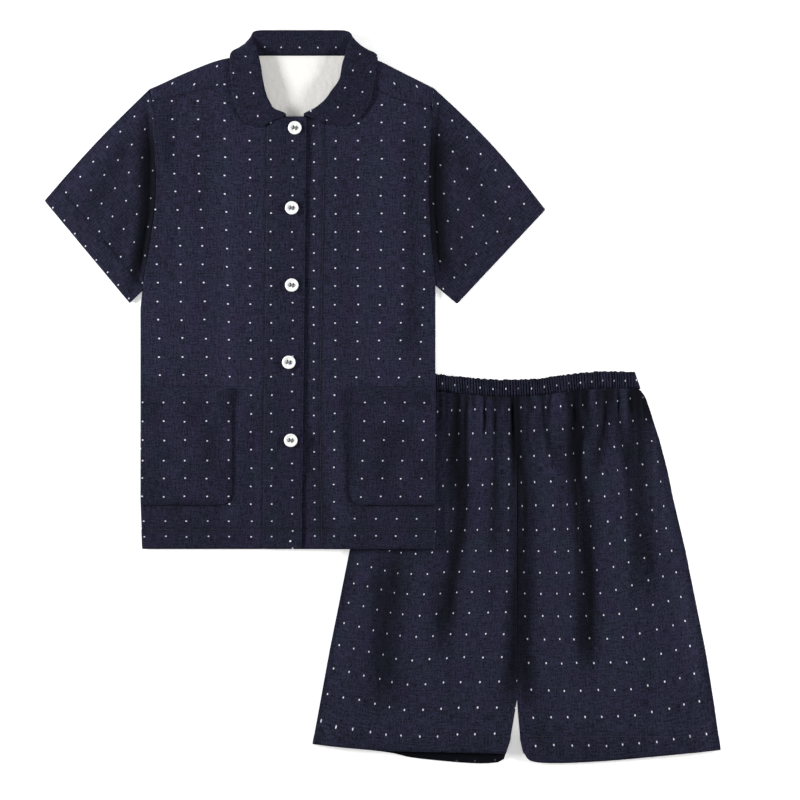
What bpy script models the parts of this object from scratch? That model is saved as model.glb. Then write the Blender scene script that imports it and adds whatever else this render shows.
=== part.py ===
# A two-piece set in dotted double gauze, laid out flat: a short-sleeved shirt with a round turned-down
# collar, five buttons and two patch pockets, and shorts on a gathered elastic waist.
# The shirt's lower corner lies over the waist of the shorts. Worked in millimetres, built in metres, +Z up.
# Each garment is drawn in its own frame (x across from its middle, y up from its hem) and then placed.
import math

import bmesh
import bpy
import numpy as np

for old in list(bpy.data.objects):
    bpy.data.objects.remove(old, do_unlink=True)

# ---- Cloth
WALL = 1.2           # double gauze, two loose layers tacked together
DOUBLE = 2.0         # a turned-up hem or turned-in front facing, pressed
COLLAR_WALL = 1.8    # collar leaf, two pieces turned through
BAND_WALL = 2.4      # waistband, cloth both sides of a flat elastic
GAP = 0.3            # between any two pieces
CLEAR = 0.4          # under what lies on a curved panel

# ---- Layout: where each garment's own frame stands on the surface
SHIRT_AT = (-127.6, -203.9)
SHORTS_AT = (181.6, -484.7)

# ---- Shirt
BODY_TOP = 664.0
NECK_SEAM_Y = 664.4  # top edge of the back between the shoulders
ARM_LEFT = [(0, -196), (65, -198.5), (324, -198.5), (348, -196), (389, -189), (450, -179.6),
            (483, -177), (537, -177), (591, -180), (620, -186.3)]       # (height, x)
ARM_RIGHT = [(0, 197), (65, 198.5), (355, 198.5), (416, 193), (483, 189), (537, 190.4),
             (591, 194.4), (621, 197)]
SHOULDER_LEFT = [(-186.3, 620), (-171.5, 626.4), (-148.5, 637.2), (-122.9, 648), (-98.6, 657),
                 (-77, 662), (-54.6, 664)]
SHOULDER_RIGHT = [(91.2, 664), (120, 658.8), (143, 648), (164.7, 637.2), (186.3, 626.4), (197, 621)]
FORWARD_LEFT = [(-182.5, 604), (-128, 617), (-78, 629), (-54.2, 636)]    # forward shoulder seam
FORWARD_RIGHT = [(88.8, 633), (112, 622.4), (151, 606.2), (194.3, 597)]
OPENING = [(0, 17.5), (250, 20.5), (582, 24)]      # edge of the front that laps over (height, x)
UNDER_LINE = [(0, 46), (200, 43), (582, 50)]       # stitch line of the under front's facing
FACING, UNDER_FACING = 51.0, 57.0                  # widths of the turned-in facings
HEM_TURN = 26.0
CENTRE_NECK_Y = 582.0
OVER_SHORTS = 6.0    # how high the shirt rides over the shorts

# Collar stations from the overlapping front's end, round the back, to the other end.
# seam x, y | roll line x, y, height | leaf edge x, y, height | turn of the leaf (0 above, 180 beneath)
COLLAR = [
    (-3, 583, -3, 586, 7.2, -22, 576, 7.8, 0),
    (-11, 584, -10, 589, 8.0, -35, 570, 6.0, 0),
    (-22, 588, -19, 593, 8.8, -51, 572, 5.4, 0),
    (-32, 595, -25, 602, 9.6, -64, 583, 5.4, 0),
    (-43, 607, -30, 614, 10.4, -72, 602, 5.8, 0),
    (-51, 629, -34, 632, 11.2, -76, 632, 6.4, 0),
    (-53, 651, -37, 652, 11.2, -77, 651, 6.8, 10),
    (-53, 662, -42, 671, 10.4, -77, 667, 6.4, 50),
    (-50, 668, -48, 689, 9.0, -68, 673, 1.6, 100),
    (-40, 667, -42, 697, 7.4, -52, 664, 0.9, 150),
    (-14, 667, -12, 698, 6.6, -16, 656, 0.9, 180),
    (18, 667, 18, 698, 6.4, 18, 656, 0.9, 180),
    (50, 667, 49, 698, 6.6, 53, 656, 0.9, 180),
    (77, 667, 78, 697, 7.4, 89, 664, 0.9, 150),
    (87, 668, 86, 689, 9.0, 107, 671, 1.6, 100),
    (90, 662, 80, 671, 10.4, 120, 665, 6.4, 50),
    (90, 651, 74, 652, 11.2, 119, 649, 6.8, 10),
    (87, 629, 70, 632, 11.2, 115, 626, 6.4, 0),
    (76, 612, 59, 616, 10.4, 110, 602, 5.8, 0),
    (61, 599, 51, 605, 9.6, 97, 582, 5.4, 0),
    (45, 589, 38, 594, 8.8, 78, 571, 5.4, 0),
    (30, 585, 28, 589, 8.0, 58, 573, 6.6, 0),
    (22, 583, 22, 586, 7.2, 40, 579, 7.8, 0),
]
ROLL_R = 1.25        # half the fold between stand and leaf

SLEEVE_LEFT = dict(shoulder=(-186.8, 619.6), tip=(-328, 469.8), hem=(-213.3, 332), bulge=3.0)
SLEEVE_RIGHT = dict(shoulder=(197.5, 620.4), tip=(347, 457.7), hem=(228.2, 331), bulge=6.0)
UNDERARM_LEFT, UNDERARM_RIGHT = 348.0, 355.0

POCKET_TOP, POCKET_FOOT, POCKET_ROUND = 216.0, 59.0, 17.0
POCKET_LEFT = (-197.6, -75.6)
POCKET_RIGHT = (83.7, 197.6)

BUTTONS = [(9.5, 567), (5.4, 459), (5.4, 355), (1.4, 251), (4.1, 145.8)]
BUTTON_R, BUTTON_H, HOLE_R, HOLE_AT = 8.9, 2.8, 1.0, 2.0

# ---- Shorts
WAIST_HALF = 162.0   # relaxed, half the flat waist
WAIST_Y, WAIST_DIP = 508.0, 10.5     # upper edge at the middle, and its rise towards the sides
BAND_WIDE = 22.0
SIDE_LEFT = [(17, -275.4), (76, -264.6), (143, -252.5), (210, -239), (278, -225.5), (480, -171), (500, -165)]
SIDE_RIGHT = [(9, 274.1), (76, 264.6), (143, 253.8), (210, 240.3), (278, 226.8), (346, 210.6),
              (386, 202.5), (427, 191.7), (481, 175.5), (500, 166)]
INNER_LEFT = [(-8, -24), (22, -12.2), (62, -4.1), (80, -0.3), (510, -0.2)]
INNER_RIGHT = [(-8, 18.5), (22, 8.1), (62, 1.8), (80, 0.3), (510, 0.2)]
HEM_FRONT_LEFT = [(-275.4, 17.4), (-190, 9.5), (-90, 6.5), (-18, 5)]
HEM_BACK_LEFT = [(-275.4, 17.4), (-178, 6.8), (-140, -1), (-67, -8), (-30, -7.5), (-20, -3)]
HEM_FRONT_RIGHT = [(12, 6), (32, -7.5), (113, -5.4), (274.1, 9.5)]
HEM_BACK_RIGHT = [(12, 7), (32, -5), (113, -3), (274.1, 9.5)]

# Folds that fall from the gathers: path from the waist down, half width, height
SHORTS_FOLDS = [
    ([(-78, 468), (-82, 350), (-92, 265), (-108, 144)], 12, -2.0),
    ([(12, 446), (12, 342), (4, 265), (-5, 149), (-8, 57)], 13, -2.2),
    ([(77, 466), (86, 350), (97, 265), (93, 188), (104, 90)], 14, -2.4),
    ([(151, 446), (170, 342), (174, 219)], 13, -1.6),
    ([(-166, 279), (-173, 188), (-177, 72)], 13, -1.6),
    ([(-58, 419), (-46, 300), (-62, 90)], 16, 1.2),
    ([(38, 440), (42, 265), (46, 60)], 16, 1.2),
    ([(126, 440), (132, 265), (150, 60)], 16, 1.0),
]
SHIRT_FOLDS = [
    ([(-74, 497), (-74, 11)], 13, 0.7),
    ([(160, 574), (160, 248)], 13, -0.7),
]


def ease(a):
    a = np.clip(a, 0.0, 1.0)
    return a * a * (3 - 2 * a)


def across(table, y):
    """x of an edge at height y, from a table of (y, x)"""
    return np.interp(y, [r[0] for r in table], [r[1] for r in table])


def folds(table, x, y):
    """Sum of rounded folds, each running down its own path and dying away at both ends"""
    z = 0.0
    for path, wide, high in table:
        ys = [p[1] for p in path][::-1]
        xs = [p[0] for p in path][::-1]
        ends = ease((y - ys[0] + 25) / 40) * ease((ys[-1] + 20 - y) / 40)
        z = z + high * ends * np.exp(-((x - np.interp(y, ys, xs)) / wide) ** 2)
    return z


def opening_x(y):
    return across(OPENING, y)


def under_x(y):
    return across(UNDER_LINE, y) - UNDER_FACING


# ---- Heights, each the underside of a layer above the surface, in its garment's frame
def shirt_floor(x, y):
    """Underside of the shirt's back: flat, lifted by the collar behind the neck and by the shorts"""
    neck = 2.5 * ease((y - 612) / 36) * ease((150 - abs(x - 18)) / 50)
    to_shorts = (x - np.interp(y, [-3, 229.5], [83.7, 145.8])) * 0.966
    below_waist = 238 - y
    over = OVER_SHORTS * ease((to_shorts + 94) / 90) * ease((below_waist + 94) / 90)
    return neck + over


def shirt_upper(x, y):
    """Underside of the shirt's upper layer"""
    side = np.minimum(x - across(ARM_LEFT, y), across(ARM_RIGHT, y) - x)
    air = ease(side / 45) * ease((y + 5) / 60) * ease((BODY_TOP + 4 - y) / 60)
    floor = shirt_floor(x, y)
    slack = 0.5 * ease(floor / 0.6) * (y < 500)
    return floor + WALL + GAP + slack + air * np.maximum(1.0 + folds(SHIRT_FOLDS, x, y), 0)


def front_wall_right(x, y):
    facing = ease((x - opening_x(y) + FACING + 3) / 6)
    return WALL + (DOUBLE - WALL) * np.maximum(facing, ease((HEM_TURN + 3 - y) / 6))


def front_wall_left(x, y):
    facing = ease((across(UNDER_LINE, y) + 3 - x) / 6)
    return WALL + (DOUBLE - WALL) * np.maximum(facing, ease((HEM_TURN + 3 - y) / 6))


def front_right_base(x, y):
    """The wearer's right front laps over the left one near its opening edge"""
    return shirt_upper(x, y) + (DOUBLE + CLEAR) * ease((x - under_x(y) + 56) / 28)


def shirt_top(x, y):
    """Upper side of whichever front is uppermost"""
    right = front_right_base(x, y) + front_wall_right(x, y)
    left = shirt_upper(x, y) + front_wall_left(x, y)
    return np.where(x < opening_x(y) + 2, right, left)


def shorts_relief(x, y):
    band = ease((y - 440) / 45)
    side = np.minimum(x - across(SIDE_LEFT, y), across(SIDE_RIGHT, y) - x)
    under_shirt = 1 - 0.7 * ease((-70 - x) / 40) * ease((y - 245) / 40)
    body = np.clip(2.0 + folds(SHORTS_FOLDS, x, y), 0, 3.4) * ease(side / 32) * ease(y / 60 + 0.35)
    return (body * (1 - band) + 1.3 * band * ease(side / 12)) * under_shirt


def shorts_upper(x, y):
    return WALL + GAP + shorts_relief(x, y)


# ---- Building
def material(name, colour, rough, metal=0.0):
    m = bpy.data.materials.new(name)
    m.use_nodes = True
    p = m.node_tree.nodes["Principled BSDF"]
    lin = [c / 12.92 if c <= 0.04045 else ((c + 0.055) / 1.055) ** 2.4 for c in colour]
    p.inputs["Base Color"].default_value = (*lin, 1)
    p.inputs["Roughness"].default_value = rough
    p.inputs["Metallic"].default_value = metal
    m.diffuse_color = (*lin, 1)
    return m


def shell(name, outer, inner, at, colour, rough=0.9, keep=None, ring=False):
    """A wall between two grids of the same shape: rows down the first axis, columns along the second.
    keep marks the cells that exist; a ring joins its last row to its first."""
    rows, cols = outer.shape[:2]
    cells = rows if ring else rows - 1
    if keep is None:
        keep = np.ones((cells, cols - 1), bool)
    bm = bmesh.new()
    verts = {}

    def vert(side, i, j):
        key = (side, i % rows, j)
        if key not in verts:
            p = (outer, inner)[side][i % rows, j]
            verts[key] = bm.verts.new(((p[0] + at[0]) / 1000, (p[1] + at[1]) / 1000, p[2] / 1000))
        return verts[key]

    def present(i, j):
        if ring:
            i %= rows
        return 0 <= i < cells and 0 <= j < cols - 1 and keep[i, j]

    for i in range(cells):
        for j in range(cols - 1):
            if not keep[i, j]:
                continue
            loop = [(i, j), (i, j + 1), (i + 1, j + 1), (i + 1, j)]
            bm.faces.new([vert(0, *c) for c in loop])
            bm.faces.new([vert(1, *c) for c in reversed(loop)])
            for (a, b), (di, dj) in zip(zip(loop, loop[1:] + loop[:1]), [(-1, 0), (0, 1), (1, 0), (0, -1)]):
                if not present(i + di, j + dj):
                    bm.faces.new([vert(0, *b), vert(0, *a), vert(1, *a), vert(1, *b)])
    bmesh.ops.triangulate(bm, faces=bm.faces[:], quad_method="SHORT_EDGE")
    bmesh.ops.recalc_face_normals(bm, faces=bm.faces[:])
    mesh = bpy.data.meshes.new(name)
    bm.to_mesh(mesh)
    bm.free()
    ob = bpy.data.objects.new(name, mesh)
    bpy.context.scene.collection.objects.link(ob)
    mesh.materials.append(material(name, colour, rough))
    mesh.shade_smooth()
    mesh.set_sharp_from_angle(angle=math.radians(40))
    return ob


def spread(points, count):
    """count points evenly spaced along a polyline, keeping its ends"""
    pts = np.array(points, float)
    run = np.r_[0, np.cumsum(np.hypot(*np.diff(pts, axis=0).T))]
    s = np.linspace(0, run[-1], count)
    return np.stack([np.interp(s, run, pts[:, k]) for k in range(pts.shape[1])], axis=1)


def panel(top, hem, left, right, rows, top_share=2.0):
    """Plan grid of a panel. top and hem are points from left to right; left and right give x at a height.
    Row 0 is the hem and the last row is the top edge."""
    top, hem = np.array(top, float), np.array(hem, float)
    n = len(top)
    f_top = (top[:, 0] - top[0, 0]) / (top[-1, 0] - top[0, 0])
    f_hem = np.linspace(0, 1, n)
    hem_y = np.interp(f_hem, (hem[:, 0] - hem[0, 0]) / (hem[-1, 0] - hem[0, 0]), hem[:, 1])
    grid = np.zeros((rows, n, 2))
    for i, t in enumerate(np.linspace(0, 1, rows)):
        y = hem_y + (top[:, 1] - hem_y) * t
        f = f_hem + (f_top - f_hem) * t ** top_share
        x0, x1 = left(y[0]), right(y[-1])
        if i == rows - 1:
            x0, x1 = top[0, 0], top[-1, 0]
        grid[i, :, 0] = x0 + f * (x1 - x0)
        grid[i, :, 1] = y
    return grid


def lay(grid, base, wall):
    """Upper and lower surfaces of a panel lying at height base"""
    x, y = grid[..., 0], grid[..., 1]
    low = np.asarray(base(x, y), float) * np.ones_like(x)
    high = low + (wall(x, y) if callable(wall) else wall)
    return np.stack([x, y, high], -1), np.stack([x, y, low], -1)


def turn(edge, out, low, high, wall, steps=(-60, -20, 20, 60)):
    """Rows that carry a layer round a fold: edge and out are plan points and directions, low is the top of
    the lower layer and high the underside of the upper one. Returns rows of outer and inner points."""
    mid, rin = (low + high) / 2, (high - low) / 2
    centre = edge - out * (rin + wall)[:, None]
    rows_o, rows_i = [], []
    for deg in steps:
        c, s = math.cos(math.radians(deg)), math.sin(math.radians(deg))
        for rows, r in ((rows_o, rin + wall), (rows_i, rin)):
            rows.append(np.column_stack([centre + out * (r * c)[:, None], mid + r * s]))
    return np.array(rows_o), np.array(rows_i), centre


def normals2(points):
    """Left-hand normals in plan along a polyline"""
    d = np.gradient(points, axis=0)
    d /= np.linalg.norm(d, axis=1)[:, None]
    return np.column_stack([-d[:, 1], d[:, 0]])


NAVY = (0.176, 0.176, 0.239)
NAVY_2 = (0.160, 0.162, 0.222)
NAVY_3 = (0.150, 0.152, 0.208)

# ---- Collar
def rounded(rows, per):
    """Points on a smooth curve through the rows, per steps to each span"""
    p = np.array(rows, float)
    ext = np.vstack([2 * p[0] - p[1], p, 2 * p[-1] - p[-2]])
    out = []
    for k in range(1, len(p)):
        a, b, c, d = ext[k - 1:k + 3]
        for t in np.arange(per) / per:
            curve = (2 * a - 5 * b + 4 * c - d) * t ** 2 + (3 * b - a - 3 * c + d) * t ** 3
            out.append(0.5 * (2 * b + (c - a) * t + curve))
    out.append(p[-1])
    return np.array(out)


def collar_surface(per, across_stand, across_leaf):
    """Middle surface of the collar: up the stand, over the roll line and down the leaf"""
    st = rounded(COLLAR, per)
    seam, roll, edge, tilt = st[:, 0:2], st[:, 2:5], st[:, 5:8], np.radians(st[:, 8])
    seam_z = shirt_upper(seam[:, 0], seam[:, 1]) + WALL / 2
    seam_z = seam_z + 1.5 * ease((15 - abs(seam[:, 0] - 9)) / 8) * (seam[:, 1] < 600)
    behind = ease((np.degrees(tilt) - 100) / 50)
    seam_z = seam_z * (1 - behind) + (shirt_floor(seam[:, 0], seam[:, 1]) + WALL / 2) * behind
    away = roll[:, :2] - seam
    away = away / np.maximum(np.linalg.norm(away, axis=1), 1e-6)[:, None]
    flat = np.column_stack([away, np.zeros(len(st))])
    side = np.column_stack([edge[:, :2] - roll[:, :2], np.zeros(len(st))])
    side /= np.linalg.norm(side, axis=1)[:, None]
    # from stand to leaf: up at the sides, outward at the shoulders, down behind the neck
    to_leaf = side * np.sin(tilt)[:, None] + np.array([0, 0, 1.0]) * np.cos(tilt)[:, None]
    short = np.linalg.norm(roll[:, :2] - seam, axis=1)
    back = np.minimum(ROLL_R, short * 0.4)[:, None]
    s0 = np.column_stack([seam, seam_z])
    tip = roll.copy()
    turn_in = tip - flat * back - to_leaf * ROLL_R
    turn_out = tip - flat * back + to_leaf * ROLL_R
    rows = []
    for t in np.linspace(0, 1, across_stand + 1):
        p = s0 + (turn_in - s0) * t
        p[:, 2] = s0[:, 2] + (turn_in[:, 2] - s0[:, 2]) * math.sin(t * math.pi / 2)
        rows.append(p)
    rows.append(tip - flat * back * 0.3 - to_leaf * ROLL_R * 0.7)
    rows.append(tip - flat * back * 0.3 + to_leaf * ROLL_R * 0.7)
    for t in np.linspace(0, 1, across_leaf + 1):
        p = turn_out + (edge - turn_out) * t
        p[:, 2] = edge[:, 2] + (turn_out[:, 2] - edge[:, 2]) * (1 - ease(t * 1.15)) if t < 1 else edge[:, 2]
        on_front = tilt < 0.3
        floor = shirt_top(p[:, 0], p[:, 1]) + GAP + CLEAR + COLLAR_WALL / 2
        p[:, 2] = np.where(on_front & (t > 0.2), np.maximum(p[:, 2], floor), p[:, 2])
        rows.append(p)
    return np.array(rows)


def thicken(mid, wall):
    """Both sides of a wall about a middle surface"""
    du = np.gradient(mid, axis=0)
    dv = np.gradient(mid, axis=1)
    n = np.cross(du, dv)
    n /= np.linalg.norm(n, axis=-1)[..., None]
    return mid + n * wall / 2, mid - n * wall / 2


collar_mid = collar_surface(1, 3, 4)
shell("collar", *thicken(collar_mid, COLLAR_WALL), SHIRT_AT, NAVY, 0.9)

# Neckline of the panels: the collar's seam, moved out
seam_line = rounded(COLLAR, 1)[:, 0:2]
neck_line = seam_line + normals2(seam_line) * 1.3
neck_line[:, 1] = np.maximum(neck_line[:, 1], CENTRE_NECK_Y - 0.5)
NECK_POINTS = 6      # collar stations from the opening to the left forward seam

# ---- Shirt back: the lower layer, carried over both shoulders to the forward seams
left_top = spread(SHOULDER_LEFT, 6)
right_top = spread(SHOULDER_RIGHT, 6)
neck_top = np.array([(x, NECK_SEAM_Y) for x in np.linspace(-54.6, 91.2, 6)[1:-1]])
whole_top = np.vstack([left_top, neck_top, right_top])
n_left, n_right = len(left_top), len(right_top)
n_cols = len(whole_top)


def fold_at(points):
    """Fold data along a shoulder: outward direction and the heights on both sides"""
    out = normals2(points)
    low = shirt_floor(points[:, 0], points[:, 1]) + WALL
    high = shirt_upper(points[:, 0], points[:, 1])
    return out, low, high


out_l, low_l, high_l = fold_at(left_top)
out_r, low_r, high_r = fold_at(right_top)
outer_l, inner_l, centre_l = turn(left_top, out_l, low_l, high_l, WALL)
outer_r, inner_r, centre_r = turn(right_top, out_r, low_r, high_r, WALL)
lower_top = whole_top.copy()
lower_top[:n_left] = centre_l
lower_top[-n_right:] = centre_r
rows_low = 18
plan = panel(lower_top, [(-196, 0), (197, 0)], lambda y: across(ARM_LEFT, y), lambda y: across(ARM_RIGHT, y),
             rows_low, 1.0)
# the lower layer's outside faces the surface
up, down = lay(plan, shirt_floor, WALL)
outer_rows, inner_rows = [down], [up]
fold_o = np.full((4, n_cols, 3), 0.0)
fold_i = fold_o.copy()
fold_o[:, :n_left], fold_i[:, :n_left] = outer_l, inner_l
fold_o[:, -n_right:], fold_i[:, -n_right:] = outer_r, inner_r
outer_rows.append(fold_o)
inner_rows.append(fold_i)


def yoke(centre, forward, rows=4):
    f = spread(forward, len(centre))
    return np.array([centre + (f - centre) * t for t in np.linspace(0, 1, rows)])


yoke_plan = np.zeros((4, n_cols, 2))
yoke_plan[:, :n_left] = yoke(centre_l, FORWARD_LEFT)
yoke_plan[:, -n_right:] = yoke(centre_r, FORWARD_RIGHT)
# the yoke's neck side keeps to the neckline
for t, row in enumerate(yoke_plan):
    row[n_left - 1, 0] = min(row[n_left - 1, 0], -54.4)
    row[-n_right, 0] = max(row[-n_right, 0], 91.3 if t < 3 else 90.6)
yoke_up, yoke_low = lay(yoke_plan, shirt_upper, WALL)
outer_rows.append(yoke_up)
inner_rows.append(yoke_low)
outer = np.concatenate(outer_rows)
inner = np.concatenate(inner_rows)
keep = np.zeros((len(outer) - 1, n_cols - 1), bool)
keep[:rows_low - 1] = True
keep[rows_low - 1:, :n_left - 1] = True
keep[rows_low - 1:, -(n_right - 1):] = True
shell("shirt_back", outer, inner, SHIRT_AT, NAVY, 0.9, keep)

# ---- Fronts
SEAM_ROOM = 0.5      # between a front's upper edge and the forward seam


def below_seam(forward):
    return spread([(x, y - SEAM_ROOM) for x, y in forward], 6)


near_left = neck_line[NECK_POINTS - 1:0:-1]
near_left = near_left[near_left[:, 0] < opening_x(CENTRE_NECK_Y) - 4]
top_right = np.vstack([below_seam(FORWARD_LEFT), near_left, [(opening_x(CENTRE_NECK_Y), CENTRE_NECK_Y - 0.3)]])
plan = panel(top_right, [(-196, 0), (opening_x(0), 0)], lambda y: across(ARM_LEFT, y), opening_x, 24, 2.2)
shell("shirt_front_right", *lay(plan, front_right_base, front_wall_right), SHIRT_AT, NAVY, 0.9)

near_right = neck_line[:-NECK_POINTS - 1:-1]
top_left = np.vstack([[(under_x(CENTRE_NECK_Y), CENTRE_NECK_Y - 0.3)], near_right, below_seam(FORWARD_RIGHT)])
plan = panel(top_left, [(under_x(0), 0), (197, 0)], under_x, lambda y: across(ARM_RIGHT, y), 24, 2.2)
shell("shirt_front_left", *lay(plan, shirt_upper, front_wall_left), SHIRT_AT, NAVY, 0.9)


# ---- Sleeves: one piece folded along its top edge, open at both ends
def sleeve(name, spec, arm, under, sign):
    a = np.linspace(0, 1, 9)
    ys = under + (spec["shoulder"][1] - under) * a
    arm_pts = np.column_stack([across(arm, ys) + sign * 0.8, ys])
    hem_pts = np.array(spec["hem"]) + (np.array(spec["tip"]) - np.array(spec["hem"])) * a[:, None]
    rows = 7
    plan = np.array([arm_pts + (hem_pts - arm_pts) * b for b in np.linspace(0, 1, rows)])
    top = plan[:, -1].copy()
    along = np.array(spec["tip"]) - np.array(spec["shoulder"])
    out = np.array([-along[1], along[0]]) * -sign
    out = out / np.linalg.norm(out)
    if out[1] < 0:
        out = -out
    top += out * (spec["bulge"] * np.sin(np.linspace(0, math.pi, rows)))[:, None]
    out = np.repeat(out[None], rows, 0)
    low, high = np.full(rows, WALL), np.full(rows, WALL + GAP + 0.3)
    outer_f, inner_f, centre = turn(top, out, low, high, WALL, (60, 20, -20, -60))
    plan[:, -1] = centre
    inner_a = ease(a / 0.35) * ease((1 - a) / 0.3)
    base = WALL + GAP + 0.3 * ease(a / 0.3) + 1.8 * inner_a * np.ones((rows, 1))
    b = np.linspace(0, 1, rows)[:, None]
    base = base - 1.3 * inner_a * ease((0.22 - b) / 0.2)
    wall = WALL + (DOUBLE - WALL) * ease((b - 0.78) / 0.08) * np.ones((1, len(a)))
    up_o = np.dstack([plan, base + wall])
    up_i = np.dstack([plan, base])
    low_o = np.dstack([plan, np.zeros((rows, len(a)))])[:, ::-1]
    low_i = np.dstack([plan, np.full((rows, len(a)), WALL)])[:, ::-1]
    outer = np.concatenate([up_o, outer_f.transpose(1, 0, 2), low_o], axis=1)
    inner = np.concatenate([up_i, inner_f.transpose(1, 0, 2), low_i], axis=1)
    shell(name, outer, inner, SHIRT_AT, NAVY_2, 0.9)


sleeve("sleeve_right", SLEEVE_LEFT, ARM_LEFT, UNDERARM_LEFT, -1)
sleeve("sleeve_left", SLEEVE_RIGHT, ARM_RIGHT, UNDERARM_RIGHT, 1)


# ---- Patch pockets, lying on the fronts, outer edge in the side seam, lower inner corner rounded
def pocket(name, span, inner_side, base):
    x0, x1 = span
    r, foot = POCKET_ROUND, POCKET_FOOT
    d = r * (1 - math.sqrt(0.5))
    arc = [(r - r * math.sin(math.radians(k)), r - r * math.cos(math.radians(k))) for k in (0, 22, 45)]
    if inner_side > 0:
        hem = [(x0, foot)] + [(x1 - p[0], foot + p[1]) for p in arc]
        left = lambda y: x0
        right = lambda y: np.interp(y, [foot + d, foot + r * 0.62, foot + r], [x1 - d, x1 - r * 0.076, x1])
    else:
        hem = [(x0 + p[0], foot + p[1]) for p in arc[::-1]] + [(x1, foot)]
        left = lambda y: np.interp(y, [foot + d, foot + r * 0.62, foot + r], [x0 + d, x0 + r * 0.076, x0])
        right = lambda y: x1
    top = spread([(x0, POCKET_TOP), (x1, POCKET_TOP)], 7)
    plan = panel(top, hem, left, right, 8, 1.0)
    shell(name, *lay(plan, base, WALL), SHIRT_AT, NAVY_3, 0.9)


pocket("pocket_right", POCKET_LEFT, 1, lambda x, y: front_right_base(x, y) + front_wall_right(x, y) + CLEAR)
pocket("pocket_left", POCKET_RIGHT, -1, lambda x, y: shirt_upper(x, y) + front_wall_left(x, y) + 2 * CLEAR)


# ---- Buttons: turned disc with a raised rim and four holes, fastened on the overlapping front
def button(name, x, y):
    base = float(front_right_base(x, y) + front_wall_right(x, y)) + CLEAR
    r, h = BUTTON_R, BUTTON_H
    section = [(0, 0), (r * 0.72, 0), (r, h * 0.42), (r * 0.97, h * 0.8), (r * 0.86, h), (r * 0.74, h * 0.93),
               (r * 0.62, h * 0.7), (0, h * 0.66)]
    bm = bmesh.new()
    pts = [bm.verts.new((p[0] / 1000, 0, p[1] / 1000)) for p in section]
    edges = [bm.edges.new(pair) for pair in zip(pts, pts[1:])]
    bmesh.ops.spin(bm, geom=pts + edges, cent=(0, 0, 0), axis=(0, 0, 1), angle=2 * math.pi, steps=20)
    bmesh.ops.remove_doubles(bm, verts=bm.verts[:], dist=0.00001)
    bmesh.ops.recalc_face_normals(bm, faces=bm.faces[:])
    mesh = bpy.data.meshes.new(name)
    bm.to_mesh(mesh)
    bm.free()
    ob = bpy.data.objects.new(name, mesh)
    bpy.context.scene.collection.objects.link(ob)
    ob.location = ((x + SHIRT_AT[0]) / 1000, (y + SHIRT_AT[1]) / 1000, base / 1000)
    cut = bpy.data.meshes.new(name + "_holes")
    bm = bmesh.new()
    for sx in (-1, 1):
        for sy in (-1, 1):
            made = bmesh.ops.create_cone(bm, cap_ends=True, segments=6, radius1=HOLE_R / 1000,
                                         radius2=HOLE_R / 1000, depth=0.02)
            bmesh.ops.translate(bm, verts=made["verts"], vec=(sx * HOLE_AT / 1000, sy * HOLE_AT / 1000, 0))
    bm.to_mesh(cut)
    bm.free()
    cutter = bpy.data.objects.new(name + "_holes", cut)
    bpy.context.scene.collection.objects.link(cutter)
    cutter.parent = ob
    cutter.hide_render = True
    cutter.display_type = "WIRE"
    mod = ob.modifiers.new("holes", "BOOLEAN")
    mod.object = cutter
    mesh.materials.append(material(name, (0.93, 0.92, 0.90), 0.35))
    mesh.shade_smooth()
    mesh.set_sharp_from_angle(angle=math.radians(35))
    return ob


for k, (bx, by) in enumerate(BUTTONS, 1):
    button("button_%d" % k, bx, by)


def waist_y(x):
    return WAIST_Y + WAIST_DIP * (1 - np.cos(math.pi * np.minimum(abs(x) / 120, 1))) / 2


# ---- Waistband: a flat tube round the elastic, folded at the two sides
def waistband():
    top = np.array([(x, waist_y(x)) for x in np.linspace(-WAIST_HALF, WAIST_HALF, 17)])
    high_z = BAND_WALL + GAP
    low, high = np.full(2, BAND_WALL), np.full(2, high_z)
    lines = [top, top - (0, BAND_WIDE)]
    ends = {}
    for side, col in ((-1, 0), (1, -1)):
        edge = np.array([lines[0][col], lines[1][col] + (side * 1.5, 0)])
        ends[side] = turn(edge, np.array([[side, 0.0]] * 2), low, high, BAND_WALL, (60, 20, -20, -60))
    plan = np.array(lines).transpose(1, 0, 2).copy()
    plan[0], plan[-1] = ends[-1][2], ends[1][2]
    n = len(plan)
    full = np.ones((n, 2))
    rise = (0.3 * np.sin(np.linspace(0, math.pi, n)))[:, None]
    upper_o = np.dstack([plan, full * (high_z + BAND_WALL) + rise])
    upper_i = np.dstack([plan, full * high_z + rise])
    lower_o = np.dstack([plan, full * 0.0])[::-1]
    lower_i = np.dstack([plan, full * BAND_WALL])[::-1]
    outer = np.concatenate([upper_o, ends[1][0], lower_o, ends[-1][0][::-1]])
    inner = np.concatenate([upper_i, ends[1][1], lower_i, ends[-1][1][::-1]])
    shell("waistband", outer, inner, SHORTS_AT, NAVY_2, 0.9, ring=True)


waistband()


# ---- Legs: four panels, joined at the sides, at the middle and along the inner legs
def leg(name, base, hem, left, right, x0, x1, cols, rows, wall):
    top = [(x, waist_y(x) - BAND_WIDE - 2 * GAP) for x in np.linspace(x0, x1, cols)]
    plan = panel(top, hem, lambda y: across(left, y), lambda y: across(right, y), rows, 1.0)
    shell(name, *lay(plan, base, wall), SHORTS_AT, NAVY_2, 0.9)


def leg_wall(x, y):
    return WALL + (DOUBLE - WALL) * ease((30 - y) / 8)


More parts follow.
